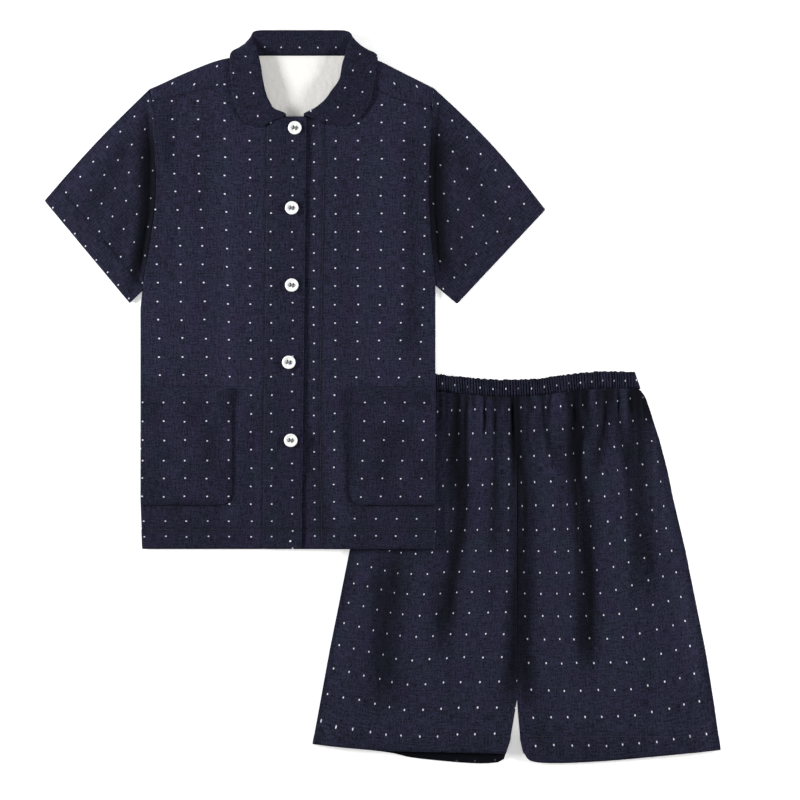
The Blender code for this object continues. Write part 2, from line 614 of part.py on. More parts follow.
leg("shorts_back_right", lambda x, y: 0 * x, HEM_BACK_LEFT, SIDE_LEFT, INNER_LEFT, -163, -0.2, 8, 12, WALL)
leg("shorts_back_left", lambda x, y: 0 * x, HEM_BACK_RIGHT, INNER_RIGHT, SIDE_RIGHT, 0.2, 163, 8, 12, WALL)
leg("shorts_front_right", shorts_upper, HEM_FRONT_LEFT, SIDE_LEFT, INNER_LEFT, -163, -0.2, 13, 22, leg_wall)
leg("shorts_front_left", shorts_upper, HEM_FRONT_RIGHT, INNER_RIGHT, SIDE_RIGHT, 0.2, 163, 13, 22, leg_wall)

# ---- The set's frame: the middle of its outline on the surface
solids = [o for o in bpy.data.objects if o.type == "MESH" and not o.hide_render]
corners = np.array([tuple(o.matrix_basis @ v.co) for o in solids for v in o.data.vertices])
middle = (corners.min(0) + corners.max(0)) / 2
for o in solids:
    o.location.x -= middle[0]
    o.location.y -= middle[1]
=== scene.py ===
import math

import bpy
import numpy as np
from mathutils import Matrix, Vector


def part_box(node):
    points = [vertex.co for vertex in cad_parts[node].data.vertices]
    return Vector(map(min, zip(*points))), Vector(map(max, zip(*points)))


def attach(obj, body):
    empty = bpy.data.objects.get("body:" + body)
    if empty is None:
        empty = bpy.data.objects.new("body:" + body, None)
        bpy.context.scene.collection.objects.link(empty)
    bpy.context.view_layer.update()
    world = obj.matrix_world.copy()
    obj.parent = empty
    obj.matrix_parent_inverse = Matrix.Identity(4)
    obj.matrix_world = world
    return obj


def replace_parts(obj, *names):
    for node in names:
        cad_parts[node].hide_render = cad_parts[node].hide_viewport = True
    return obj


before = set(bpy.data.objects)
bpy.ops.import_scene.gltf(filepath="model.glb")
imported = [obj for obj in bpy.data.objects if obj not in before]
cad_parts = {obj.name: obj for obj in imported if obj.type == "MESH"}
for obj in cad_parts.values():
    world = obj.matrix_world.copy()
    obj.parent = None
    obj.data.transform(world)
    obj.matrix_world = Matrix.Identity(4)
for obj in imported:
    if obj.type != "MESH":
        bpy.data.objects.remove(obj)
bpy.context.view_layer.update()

cloth = {"wall": 1.2, "double": 2.0, "leaf": 1.8, "band": 2.4, "gap": 0.3, "clear": 0.4}
repeat = (30.0, 24.5)      # mm from dot to dot, along and across the cloth


def cornerOf(node):
    return [np.array(c) * 1000 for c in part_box(node)]


backBox = cornerOf("shirt_back")
bandBox = cornerOf("waistband")
shirtAt = (backBox[0][0] + 198.5, backBox[0][1])
shortsAt = ((bandBox[0][0] + bandBox[1][0]) / 2, bandBox[1][1] - 518.5)


# ---- Shapes shared by all the pieces
def ease(a):
    # smooth step: 3a^2 - 2a^3 between 0 and 1
    a = np.clip(a, 0.0, 1.0)
    return a * a * (3 - 2 * a)


def smoothCurve(points, per=8):
    # Catmull-Rom curve through the points, per steps to each span
    p = np.array(points, float)
    e = np.vstack([2 * p[0] - p[1], p, 2 * p[-1] - p[-2]])
    t = (np.arange(per) / per)[None, :, None]
    a, b, c, d = (e[k:len(p) - 1 + k, None] for k in range(4))
    body = 0.5 * (2 * b + (c - a) * t + (2 * a - 5 * b + 4 * c - d) * t ** 2 + (3 * b - a - 3 * c + d) * t ** 3)
    return np.vstack([body.reshape(-1, p.shape[1]), p[-1:]])


def edgeAt(table, y):
    # x of an edge at height y, from a table of (height, x)
    t = np.array(table, float)
    return np.interp(y, t[:, 0], t[:, 1])


def toSide(x, y, leftTable, rightTable):
    # distance in from the nearer side edge
    return np.minimum(x - edgeAt(leftTable, y), edgeAt(rightTable, y) - x)


def alongLine(points, s):
    # points at distances s along a polyline
    p = np.array(points, float)
    run = np.r_[0, np.cumsum(np.linalg.norm(np.diff(p, axis=0), axis=1))]
    return np.stack([np.interp(s, run, p[:, k]) for k in range(p.shape[1])], -1)


def lengthOf(points):
    return np.linalg.norm(np.diff(np.array(points, float), axis=0), axis=1).sum()


def spread(points, count):
    return alongLine(points, np.linspace(0, lengthOf(points), count))


def softNoise(x, y, size, seed):
    # random heights on a square lattice, blended by the smooth step between its corners, from -1 to 1
    table = np.random.default_rng(seed).uniform(-1, 1, (64, 64))
    u, v = np.broadcast_arrays(np.asarray(x, float) / size, np.asarray(y, float) / size)
    i, j = np.floor(u).astype(int), np.floor(v).astype(int)
    fu, fv = ease(u - i), ease(v - j)
    near = table[i % 64, j % 64] * (1 - fu) + table[(i + 1) % 64, j % 64] * fu
    far = table[i % 64, (j + 1) % 64] * (1 - fu) + table[(i + 1) % 64, (j + 1) % 64] * fu
    return near * (1 - fv) + far * fv


def creases(x, y, rows, fade=30, fullAbove=None, widen=1.0):
    # each row is a line of points, a half width and a height: a bell across the line, tapered at both ends,
    # or at its far end only where it starts above a given y; widen stretches the bells, point by point
    z = np.zeros(np.shape(x))
    for line, wide, high in rows:
        p = smoothCurve(line, 5)
        legs = np.diff(p, axis=0)
        sizes = np.hypot(*legs.T)
        run = np.r_[0, np.cumsum(sizes)]
        best, at = np.full(z.shape, 1e9), np.zeros(z.shape)
        for k, leg in enumerate(legs):
            dx, dy = x - p[k, 0], y - p[k, 1]
            t = np.clip((dx * leg[0] + dy * leg[1]) / sizes[k] ** 2, 0, 1)
            d = np.hypot(dx - t * leg[0], dy - t * leg[1])
            at = np.where(d < best, run[k] + t * sizes[k], at)
            best = np.minimum(best, d)
        taper = min(fade, run[-1] / 2)
        begin = 0.15 if fullAbove is None or line[0][1] < fullAbove else 1.0
        z += (high * ease(at / taper + begin) * ease((run[-1] - at) / taper + 0.15)
              * np.exp(-(best / (wide * widen)) ** 2))
    return z


def stitched(d, s, pull=0.45):
    # what a line of stitches does to the cloth: a soft groove at distance d, with small puckers along s
    return -pull * np.exp(-(d / 1.4) ** 2) + 0.16 * softNoise(s, 0 * s, 4.5, 71) * np.exp(-np.abs(d) / 7)


def longInterp(x, xs, steps):
    # np.interp that runs on straight past both ends
    xs, steps = np.asarray(xs, float), np.asarray(steps, float)
    first, last = (steps[1] - steps[0]) / (xs[1] - xs[0]), (steps[-1] - steps[-2]) / (xs[-1] - xs[-2])
    return (np.interp(x, xs, steps) + first * np.minimum(x - xs[0], 0) + last * np.maximum(x - xs[-1], 0))


def columnAt(x, y, table, leftward=False):
    # which column of dots x lies at: each line of the table is a height, then the x of every column at it
    heights, column = [line[0] for line in table], 0
    for k, line in enumerate(table):
        xs, steps = np.array(line[1:], float), np.arange(len(line) - 1.0)
        xs, steps = (xs[::-1], steps[::-1]) if leftward else (xs, steps)
        column = column + longInterp(x, xs, steps) * np.interp(y, heights, np.eye(len(heights))[k])
    return column


def finer(start, stop, step, lines=(), near=(-2.6, -1.3, 0, 1.3, 2.6)):
    # even stations from start to stop, with extra ones beside each stitch line
    base = np.linspace(start, stop, int(abs(stop - start) / step) + 1)
    for line in lines:
        base = base[np.abs(base - line) > near[-1] * 1.3]
        base = np.r_[base, [line + n for n in near]]
    return np.sort(base)


def linear(colour):
    c = np.array([int(colour[k:k + 2], 16) / 255 for k in (1, 3, 5)])
    return (*np.where(c <= 0.04045, c / 12.92, ((c + 0.055) / 1.055) ** 2.4), 1.0)


def addPiece(mesh):
    piece = bpy.data.objects.new(mesh.name, mesh)
    bpy.context.scene.collection.objects.link(piece)
    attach(piece, "root")
    return piece


def clothMesh(name, outer, inner, uv, at, finishes, keep=None, ring=False, turned=None, paintedShade=None):
    # A wall of cloth between two grids of points, its rim rounded by one more row pushed out by half the wall.
    # keep marks the cells that exist, ring joins the last row to the first, turned marks where the face is inside,
    # the last argument is painted shade kept on the points: from 1 deep in a fold, darkest, to below 0 on a ridge,
    # where it gives a painted highlight.
    rows, cols = outer.shape[:2]
    cells = rows if ring else rows - 1
    keep = np.ones((cells, cols - 1), bool) if keep is None else keep
    points = np.concatenate([outer.reshape(-1, 3), inner.reshape(-1, 3)])
    ids = np.arange(rows * cols).reshape(rows, cols)
    ids = np.vstack([ids, ids[:1]]) if ring else ids
    uvIds = np.arange((cells + 1) * cols).reshape(cells + 1, cols)

    def corners(g):
        return g[:-1, :-1], g[:-1, 1:], g[1:, 1:], g[1:, :-1]

    wide = np.zeros((cells + 2, cols + 1), bool)
    wide[1:-1, 1:-1] = keep
    if ring:
        wide[0, 1:-1], wide[-1, 1:-1] = keep[-1], keep[0]
    beside = (wide[:-2, 1:-1], wide[1:-1, 2:], wide[2:, 1:-1], wide[1:-1, :-2])
    quads, uvQuads = (np.stack(corners(g), -1)[keep] for g in (ids, uvIds))
    edges, uvEdges = (np.concatenate([np.stack([c[k], c[(k + 1) % 4]], -1)[keep & ~beside[k]] for k in range(4)])
                      for c in (corners(ids), corners(uvIds)))
    n = rows * cols
    through = points[:n] - points[n:]
    a, b, d = points[quads[:, 0]], points[quads[:, 1]], points[quads[:, 3]]
    facing = np.sign((np.cross(b - a, d - a) * through[quads[:, 0]]).sum())
    push = np.zeros((n, 3))
    out = facing * np.cross(points[edges[:, 1]] - points[edges[:, 0]], through[edges[:, 0]])
    out /= np.maximum(np.linalg.norm(out, axis=1), 1e-9)[:, None]
    np.add.at(push, edges[:, 0], out)
    np.add.at(push, edges[:, 1], out)
    push /= np.maximum(np.linalg.norm(push, axis=1), 1e-9)[:, None]
    middle = (points[:n] + points[n:]) / 2 + push * 0.45 * np.linalg.norm(through, axis=1)[:, None]
    points = np.concatenate([points, middle])
    p, q = edges.T
    up, uq = uvEdges.T
    faces = np.concatenate([quads, quads[:, ::-1] + n, np.stack([q, p, p + 2 * n, q + 2 * n], -1),
                            np.stack([q + 2 * n, p + 2 * n, p + n, q + n], -1)])
    uvFaces = np.concatenate([uvQuads, uvQuads[:, ::-1], np.stack([uq, up, up, uq], -1),
                              np.stack([uq, up, up, uq], -1)])
    lining = np.ones(len(quads), int) if turned is None else 1 - turned[keep].astype(int)
    finish = np.concatenate([np.zeros(len(quads), int), lining, np.zeros(2 * len(edges), int)])
    if facing < 0:
        faces, uvFaces = faces[:, ::-1], uvFaces[:, ::-1]
    used, faces = np.unique(faces, return_inverse=True)
    faces = faces.reshape(-1, 4)
    points = (points[used] + (*at, 0)) / 1000
    depth = np.zeros(n) if paintedShade is None else np.broadcast_to(paintedShade, (rows, cols)).ravel()
    depth = np.concatenate([depth, depth, depth])[used]
    mesh = bpy.data.meshes.new(name)
    mesh.from_pydata(points.tolist(), [], faces.tolist())
    layer = mesh.uv_layers.new(name="cloth")
    layer.data.foreach_set("uv", (uv.reshape(-1, 2)[uvFaces.ravel()] / 1000).ravel())
    # painted shade, stored on the points for the cloth's material to darken its colour
    mesh.attributes.new("paintedShade", "FLOAT", "POINT").data.foreach_set("value", depth)
    for finishOne in finishes:
        mesh.materials.append(finishOne)
    mesh.polygons.foreach_set("material_index", finish if len(finishes) > 1 else np.zeros(len(faces), int))
    mesh.shade_smooth()
    mesh.update()
    return addPiece(mesh)


# ---- Materials
def addNode(tree, kind, inputs=None, **settings):
    node = tree.nodes.new(kind)
    for key, value in settings.items():
        setattr(node, key, value)
    for key, value in (inputs or {}).items():
        if isinstance(value, bpy.types.NodeSocket):
            tree.links.new(value, node.inputs[key])
        else:
            node.inputs[key].default_value = value
    return node


def newFinish(name, **values):
    finish = bpy.data.materials.new(name)
    finish.use_nodes = True
    skin = finish.node_tree.nodes["Principled BSDF"]
    for key, value in values.items():
        skin.inputs[key].default_value = value
    return finish, finish.node_tree, skin


def twoTone(tree, skin, factor, one, other):
    tone = addNode(tree, "ShaderNodeMix", {"Factor": factor, "A": linear(one), "B": linear(other)}, data_type="RGBA")
    tree.links.new(tone.outputs["Result"], skin.inputs["Base Color"])


def clothPoint(tree, scale):
    # the cloth's own flat place, in metres, times a scale a metre
    flat = addNode(tree, "ShaderNodeUVMap", uv_map="cloth").outputs[0]
    return addNode(tree, "ShaderNodeVectorMath", {0: flat, 1: scale}, operation="MULTIPLY").outputs[0]


# Double gauze, yarn-dyed: navy, purple-navy and teal-navy threads of uneven thickness, so up close the cloth is
# a fine melange with slubs along the warp and shorter ones across it. Matt, a little fuzzy.
def dottedGauze(name, values):
    finish, tree, skin = newFinish(name, **{"Roughness": 0.92, "Specular IOR Level": 0.08, "Sheen Weight": 0.01,
                                            "Sheen Roughness": 0.6})

    def threadNoise(key, detail):
        return addNode(tree, "ShaderNodeTexNoise", {"Vector": clothPoint(tree, values[key]), "Scale": 1.0,
                                                    "Detail": detail, "Roughness": 0.6}).outputs["Fac"]

    slubs, picks, flecks = threadNoise("warp", 1.0), threadNoise("weft", 1.0), threadNoise("fleck", 0.0)
    crossed = addNode(tree, "ShaderNodeMix", {"Factor": 0.48, "A": slubs, "B": picks}, data_type="FLOAT").outputs[0]
    both = addNode(tree, "ShaderNodeMix", {"Factor": 0.34, "A": crossed, "B": flecks}, data_type="FLOAT").outputs[0]
    # painted shade: deep in a fold the darker thread shows more and the colour sinks toward a near-black, on a ridge
    # the lighter thread shows as a painted highlight
    fold = addNode(tree, "ShaderNodeAttribute", attribute_name="paintedShade").outputs["Fac"]
    threadsShaded = addNode(tree, "ShaderNodeMath", {0: fold, 1: -0.05, 2: both}, operation="MULTIPLY_ADD").outputs[0]
    threads = addNode(tree, "ShaderNodeMapRange", {"Value": threadsShaded, "From Min": 0.36, "From Max": 0.63}).outputs[0]
    drift = addNode(tree, "ShaderNodeTexNoise", {"Vector": clothPoint(tree, (30, 20, 30)), "Scale": 1.0,
                                                 "Detail": 2.0}).outputs["Fac"]
    dyeShift = addNode(tree, "ShaderNodeMapRange", {"Value": drift, "From Min": 0.26, "From Max": 0.74}).outputs[0]
    darkEnd, lightEnd = (addNode(tree, "ShaderNodeMix", {"Factor": dyeShift, "A": linear(values[end][0]),
                                                         "B": linear(values[end][1])},
                                 data_type="RGBA").outputs["Result"] for end in ("darkThread", "lightThread"))
    woven = addNode(tree, "ShaderNodeMix", {"Factor": threads, "A": darkEnd, "B": lightEnd}, data_type="RGBA")
    # painted shade: the deeper the fold, the nearer the colour comes to the near-black fold shade
    deep = addNode(tree, "ShaderNodeMapRange", {"Value": fold, "From Max": 1.15, "To Max": 0.88}).outputs[0]
    shadedWoven = addNode(tree, "ShaderNodeMix", {"Factor": deep, "A": woven.outputs["Result"],
                                             "B": linear(values["paintedFoldShade"])}, data_type="RGBA")
    # dots: the place within one repeat, as an ellipse with a soft woven edge
    cell = clothPoint(tree, (1000 / repeat[0], 1000 / repeat[1], 0))
    shifted = addNode(tree, "ShaderNodeVectorMath", {0: cell, 1: (0.5, 0.5, 0)}, operation="ADD").outputs[0]
    number = addNode(tree, "ShaderNodeVectorMath", {0: shifted}, operation="FLOOR").outputs[0]
    chance = addNode(tree, "ShaderNodeTexWhiteNoise", {"Vector": number}, noise_dimensions="2D")
    inCell = addNode(tree, "ShaderNodeVectorMath", {0: shifted}, operation="FRACTION").outputs[0]
    centred = addNode(tree, "ShaderNodeVectorMath", {0: inCell, 1: (0.5, 0.5, 0)}, operation="SUBTRACT").outputs[0]
    wander = addNode(tree, "ShaderNodeVectorMath", {0: chance.outputs["Color"], 1: (0.5, 0.5, 0.5), 2: (0, 0, 0)},
                     operation="SUBTRACT").outputs[0]
    wandered = addNode(tree, "ShaderNodeVectorMath", {0: wander, 1: (0.05, 0.05, 0), 2: centred},
                       operation="MULTIPLY_ADD").outputs[0]
    inDot = addNode(tree, "ShaderNodeVectorMath", {0: wandered, 1: (repeat[0] / values["dot"][0],
                                                                    repeat[1] / values["dot"][1], 0)},
                    operation="MULTIPLY").outputs[0]
    reach = addNode(tree, "ShaderNodeVectorMath", {0: inDot}, operation="LENGTH").outputs["Value"]
    ragged = addNode(tree, "ShaderNodeMath", {0: slubs, 1: 0.5, 2: reach}, operation="MULTIPLY_ADD").outputs[0]
    dot = addNode(tree, "ShaderNodeMapRange", {"Value": ragged, "From Min": 1.6, "From Max": 0.9, "To Min": 0.0,
                                               "To Max": 1.0}, interpolation_type="SMOOTHSTEP").outputs[0]
    # painted shade: the dots fade out deep in a fold
    dotShade = addNode(tree, "ShaderNodeMapRange",
                   {"Value": fold, "From Max": 1.6, "To Min": 1.0, "To Max": 0.1}).outputs[0]
    shownDot = addNode(tree, "ShaderNodeMath", {0: dot, 1: dotShade}, operation="MULTIPLY").outputs[0]
    coloured = addNode(tree, "ShaderNodeMix", {"Factor": shownDot, "A": shadedWoven.outputs["Result"],
                                               "B": linear(values["dotColour"])}, data_type="RGBA")
    tree.links.new(coloured.outputs["Result"], skin.inputs["Base Color"])
    crinkle = addNode(tree, "ShaderNodeTexNoise", {"Vector": clothPoint(tree, (150, 75, 150)), "Scale": 1.0,
                                                   "Detail": 2.0}).outputs["Fac"]
    soft = addNode(tree, "ShaderNodeBump", {"Strength": 0.55, "Distance": 0.0009, "Height": crinkle}).outputs[0]
    weave = addNode(tree, "ShaderNodeBump", {"Strength": 0.5, "Distance": 0.0003, "Height": both,
                                             "Normal": soft}).outputs[0]
    tree.links.new(weave, skin.inputs["Normal"])
    return finish


shirtCloth = {
    "warp": (560, 70, 1), "weft": (80, 520, 1), "fleck": (520, 500, 1),   # a metre: 2 mm, coarse enough to show
    "darkThread": ("#0b1018", "#0f0c19"), "lightThread": ("#2a3042", "#302b45"),   # teal-navy, purple-navy
    # the last colour is the near-black of the painted shade in folds
    "dot": (1.18, 0.95), "dotColour": "#d8d8e6", "paintedFoldShade": "#03040a",
}
shortsCloth = dict(shirtCloth, darkThread=("#0a0f17", "#0d0b18"), lightThread=("#282e3d", "#2d2942"))
navyGauze = dottedGauze("navyDottedGauze", shirtCloth)
shortsGauze = dottedGauze("navyDottedGauzeTurned", shortsCloth)


# The undyed layer of the double gauze, seen inside: soft white, crinkled where the two layers are tacked
def undyedGauze(name):
    # the faint emission is painted light: a glow that lifts the shade on the inside
    finish, tree, skin = newFinish(name, **{"Roughness": 0.95, "Specular IOR Level": 0.2,
                                            "Emission Color": linear("#eeece8"), "Emission Strength": 0.12})
    crinkle = addNode(tree, "ShaderNodeTexNoise", {"Vector": clothPoint(tree, (120, 90, 100)), "Scale": 1.0,
                                                   "Detail": 3.0})
    weave = addNode(tree, "ShaderNodeTexNoise", {"Vector": clothPoint(tree, (800, 500, 1)), "Scale": 1.0})
    twoTone(tree, skin, weave.outputs["Fac"], "#dedcd8", "#eeece8")
    bump = addNode(tree, "ShaderNodeBump", {"Strength": 0.5, "Distance": 0.001, "Height": crinkle.outputs["Fac"]})
    tree.links.new(bump.outputs[0], skin.inputs["Normal"])
    return finish


insideGauze = undyedGauze("undyedGauze")


# Spun polyester sewing thread, navy, twisted: dark with a faint gloss
def sewingThread(name, colours):
    finish, tree, skin = newFinish(name, Roughness=0.6)
    place = addNode(tree, "ShaderNodeTexCoord").outputs["Object"]
    twist = addNode(tree, "ShaderNodeTexNoise", {"Vector": place, "Scale": 3000.0})
    twoTone(tree, skin, twist.outputs["Fac"], *colours)
    return finish


navyThread = sewingThread("navyPolyesterThread", ("#0b0b14", "#1c1c2b"))
tackThread = sewingThread("whiteTackThread", ("#c9cad2", "#f0f0f4"))
darkThread = sewingThread("darkButtonThread", ("#0c0c12", "#20202a"))


# Polyester button, cast and turned: milky white, a soft gloss, faintly cloudy inside
def castPolyester(name):
    finish, tree, skin = newFinish(name, **{"Roughness": 0.32, "IOR": 1.54, "Subsurface Weight": 0.1,
                                            "Subsurface Scale": 0.001})
    place = addNode(tree, "ShaderNodeTexCoord").outputs["Object"]
    cloud = addNode(tree, "ShaderNodeTexNoise", {"Vector": place, "Scale": 220.0, "Detail": 2.0})
    twoTone(tree, skin, cloud.outputs["Fac"], "#f1f0ee", "#fbfbfa")
    return finish


buttonFinish = castPolyester("castPolyesterWhite")
print("materials made")

# ---- Shirt
shirt = {
    "armLeft": [(0, -196), (65, -198.5), (324, -198.5), (348, -196), (389, -189), (450, -179.6), (483, -177),
                (537, -177), (591, -180), (620, -186.3)],
    "armRight": [(0, 197), (65, 198.5), (355, 198.5), (416, 193), (483, 189), (537, 190.4), (591, 194.4),
                 (621, 197)],
    "shoulderLeft": [(-186.3, 620), (-171.5, 626.4), (-148.5, 637.2), (-122.9, 648), (-98.6, 657), (-77, 662),
                     (-54.6, 664)],
    "shoulderRight": [(91.2, 664), (120, 658.8), (143, 648), (164.7, 637.2), (186.3, 626.4), (197, 621)],
    "forwardLeft": [(-182.5, 604), (-128, 617), (-78, 629), (-54.2, 636)],
    "forwardRight": [(88.8, 633), (112, 622.4), (151, 606.2), (194.3, 597)],
    "opening": [(0, 17.5), (250, 20.5), (582, 24)],       # edge of the front that laps over
    "underLine": [(0, 46), (200, 43), (582, 50)],         # stitch line of the under front's facing
    "facing": 51.0, "underFacing": 57.0, "hemTurn": 26.0, "neckY": 582.0, "overShorts": 6.0, "neckSeam": 664.4,
}
shirtFolds = [   # line, half width, height
    ([(-74, 520), (-73, 380), (-76, 200), (-72, 20)], 15, 1.4),
    ([(-162, 600), (-160, 550), (-158, 500)], 10, -1.6),
    ([(167, 574), (166, 470), (169, 350), (165, 248)], 12, -1.9),
    ([(-104, 600), (-112, 520), (-120, 430)], 14, -0.9),
    ([(-140, 470), (-132, 360), (-126, 260)], 16, 0.9),
    ([(130, 560), (124, 440), (118, 330)], 18, 0.9),
    ([(74, 540), (80, 420), (76, 300), (82, 230)], 15, -0.8),
    ([(-35, 200), (-52, 120), (-60, 20)], 12, -0.9),
    ([(30, 165), (36, 110), (44, 50), (52, 2)], 14, -1.7),
    ([(62, 150), (70, 80), (80, 10)], 13, 1.0),
    ([(116, 190), (146, 152), (178, 112)], 7, -1.5),
    ([(104, 120), (130, 92), (168, 78)], 9, 0.8),
    ([(-190, 180), (-160, 140), (-150, 90)], 12, -1.1),
    ([(-120, 180), (-112, 120), (-124, 70)], 12, 0.9),
    ([(-176, 330), (-150, 300), (-118, 286)], 10, -0.8),
    ([(186, 330), (160, 296), (128, 282)], 11, -0.9),
]


def shirtFloor(x, y):
    # underside of the back: flat, lifted behind the neck by the collar and at the corner by the shorts
    neck = 2.5 * ease((y - 612) / 36) * ease((150 - abs(x - 18)) / 50)
    toShorts = (x - np.interp(y, [-3, 229.5], [83.7, 145.8])) * 0.966
    over = shirt["overShorts"] * ease((toShorts + 94) / 90) * ease((238 - y + 94) / 90)
    return neck + over


def openX(y):
    return edgeAt(shirt["opening"], y)


def lineX(y):
    return edgeAt(shirt["underLine"], y)


def shoulderY(x):
    return np.interp(x, [-186.3, -148.5, -98.6, -54.6, 91.2, 120, 164.7, 197],
                     [620, 637.2, 657, 664, 664, 658.8, 637.2, 621])


def underCollar(x, y):
    # 0 beneath the collar, 1 clear of it
    return ease((np.hypot((x - 20) / 105, (y - 640) / 76) - 1.0) / 0.4)


def shirtUpper(x, y):
    # underside of the upper layer: the air in a flat-laid shirt, high where the sleeves join, with its folds
    side = toSide(x, y, shirt["armLeft"], shirt["armRight"])
    side = np.maximum(side, 0)
    sleeved = ease((y - 345) / 40)
    ends = ease((y + 5) / 60) * ease((shoulderY(x) + 4 - y) / 42)
    free = underCollar(x, y)
    body = 2.4 + creases(x, y, shirtFolds) + 0.35 * softNoise(x, y * 0.6, 17, 3) + 0.6 * softNoise(x, y * 0.5, 46, 5)
    body = 1.0 + (body - 1.0) * free
    closing = ease(side / 42)
    raised = 5.2 * np.exp(-(side / 24) ** 2) * free
    relief = (1 - sleeved) * closing * body + sleeved * (raised + ease(side / 26) * body)
    floor = shirtFloor(x, y)
    slack = 0.5 * ease(floor / 0.6) * (y < 500)
    return floor + cloth["wall"] + cloth["gap"] + slack + np.maximum(ends * relief, 0)


def hemmedWall(line, x, y):
    # a front's wall, doubled past the facing's stitch line (line above 0) and below the hem's
    step = np.maximum(ease((line + 2) / 3), ease((shirt["hemTurn"] + 1.5 - y) / 3))
    groove = stitched(line, y) + stitched(y - shirt["hemTurn"], x)
    return cloth["wall"] + (cloth["double"] - cloth["wall"]) * step + groove


def wallRight(x, y):
    return hemmedWall(x - openX(y) + shirt["facing"], x, y)


def wallLeft(x, y):
    return hemmedWall(lineX(y) - x, x, y)


def frontRightBase(x, y):
    # the right front laps over the left, so it steps up as it nears the under edge
    under = lineX(y) - shirt["underFacing"]
    return shirtUpper(x, y) + (cloth["double"] + cloth["clear"]) * ease((x - under + 26) / 22)


def frontRightTop(x, y):
    return frontRightBase(x, y) + wallRight(x, y)


def frontLeftTop(x, y):
    return shirtUpper(x, y) + wallLeft(x, y)


def shirtTop(x, y):
    return np.where(x < openX(y) + 2, frontRightTop(x, y), frontLeftTop(x, y))


def crumple(x, y, seed, high=0.12):
    # fine crinkle of gauze, longer along the warp
    return high * (softNoise(x, y * 0.45, 6.5, seed) + 0.6 * softNoise(x * 1.3 + y * 0.3, y * 0.4, 11, seed + 1))


def frontDots(x, y, table):
    # cloth place of a point on a front, in mm, with rows counted from a row that lies level
    return columnAt(x, y, table) * repeat[0], y - 329.0


print("shirt shapes ready")

# ---- Collar: one turned-through piece, standing at the neck, rolled over and lying down
# seam x, y | roll line x, y, height | leaf edge x, y, height | turn of the leaf (0 above, 180 beneath)
collarStations = [
    (-3, 583, -3, 586, 7.2, -22, 576, 7.8, 0), (-11, 584, -10, 589, 8.0, -35, 570, 6.0, 0),
    (-22, 588, -19, 593, 8.8, -51, 572, 5.4, 0), (-32, 595, -25, 602, 9.6, -64, 583, 5.4, 0),
    (-43, 607, -30, 614, 10.4, -72, 602, 5.8, 0), (-51, 629, -34, 632, 11.2, -76, 632, 6.4, 0),
    (-53, 651, -37, 652, 11.2, -77, 651, 6.8, 10), (-53, 662, -42, 671, 10.4, -77, 667, 6.4, 50),
    (-50, 668, -48, 689, 9.0, -68, 673, 1.6, 100), (-40, 667, -42, 697, 7.4, -52, 664, 0.9, 150),
    (-14, 667, -12, 698, 6.6, -16, 656, 0.9, 180), (18, 667, 18, 698, 6.4, 18, 656, 0.9, 180),
    (50, 667, 49, 698, 6.6, 53, 656, 0.9, 180), (77, 667, 78, 697, 7.4, 89, 664, 0.9, 150),
    (87, 668, 86, 689, 9.0, 107, 671, 1.6, 100), (90, 662, 80, 671, 10.4, 120, 665, 6.4, 50),
    (90, 651, 74, 652, 11.2, 119, 649, 6.8, 10), (87, 629, 70, 632, 11.2, 115, 626, 6.4, 0),
    (76, 612, 59, 616, 10.4, 110, 602, 5.8, 0), (61, 599, 51, 605, 9.6, 97, 582, 5.4, 0),
    (45, 589, 38, 594, 8.8, 78, 571, 5.4, 0), (30, 585, 28, 589, 8.0, 58, 573, 6.6, 0),
    (22, 583, 22, 586, 7.2, 40, 579, 7.8, 0),
]
collar = {"roll": 1.25, "perStation": 7, "stand": 9, "bend": 5, "leaf": 20}


def normals2(points):
    d = np.gradient(points, axis=0)
    d /= np.linalg.norm(d, axis=1)[:, None]
    return np.column_stack([-d[:, 1], d[:, 0]])


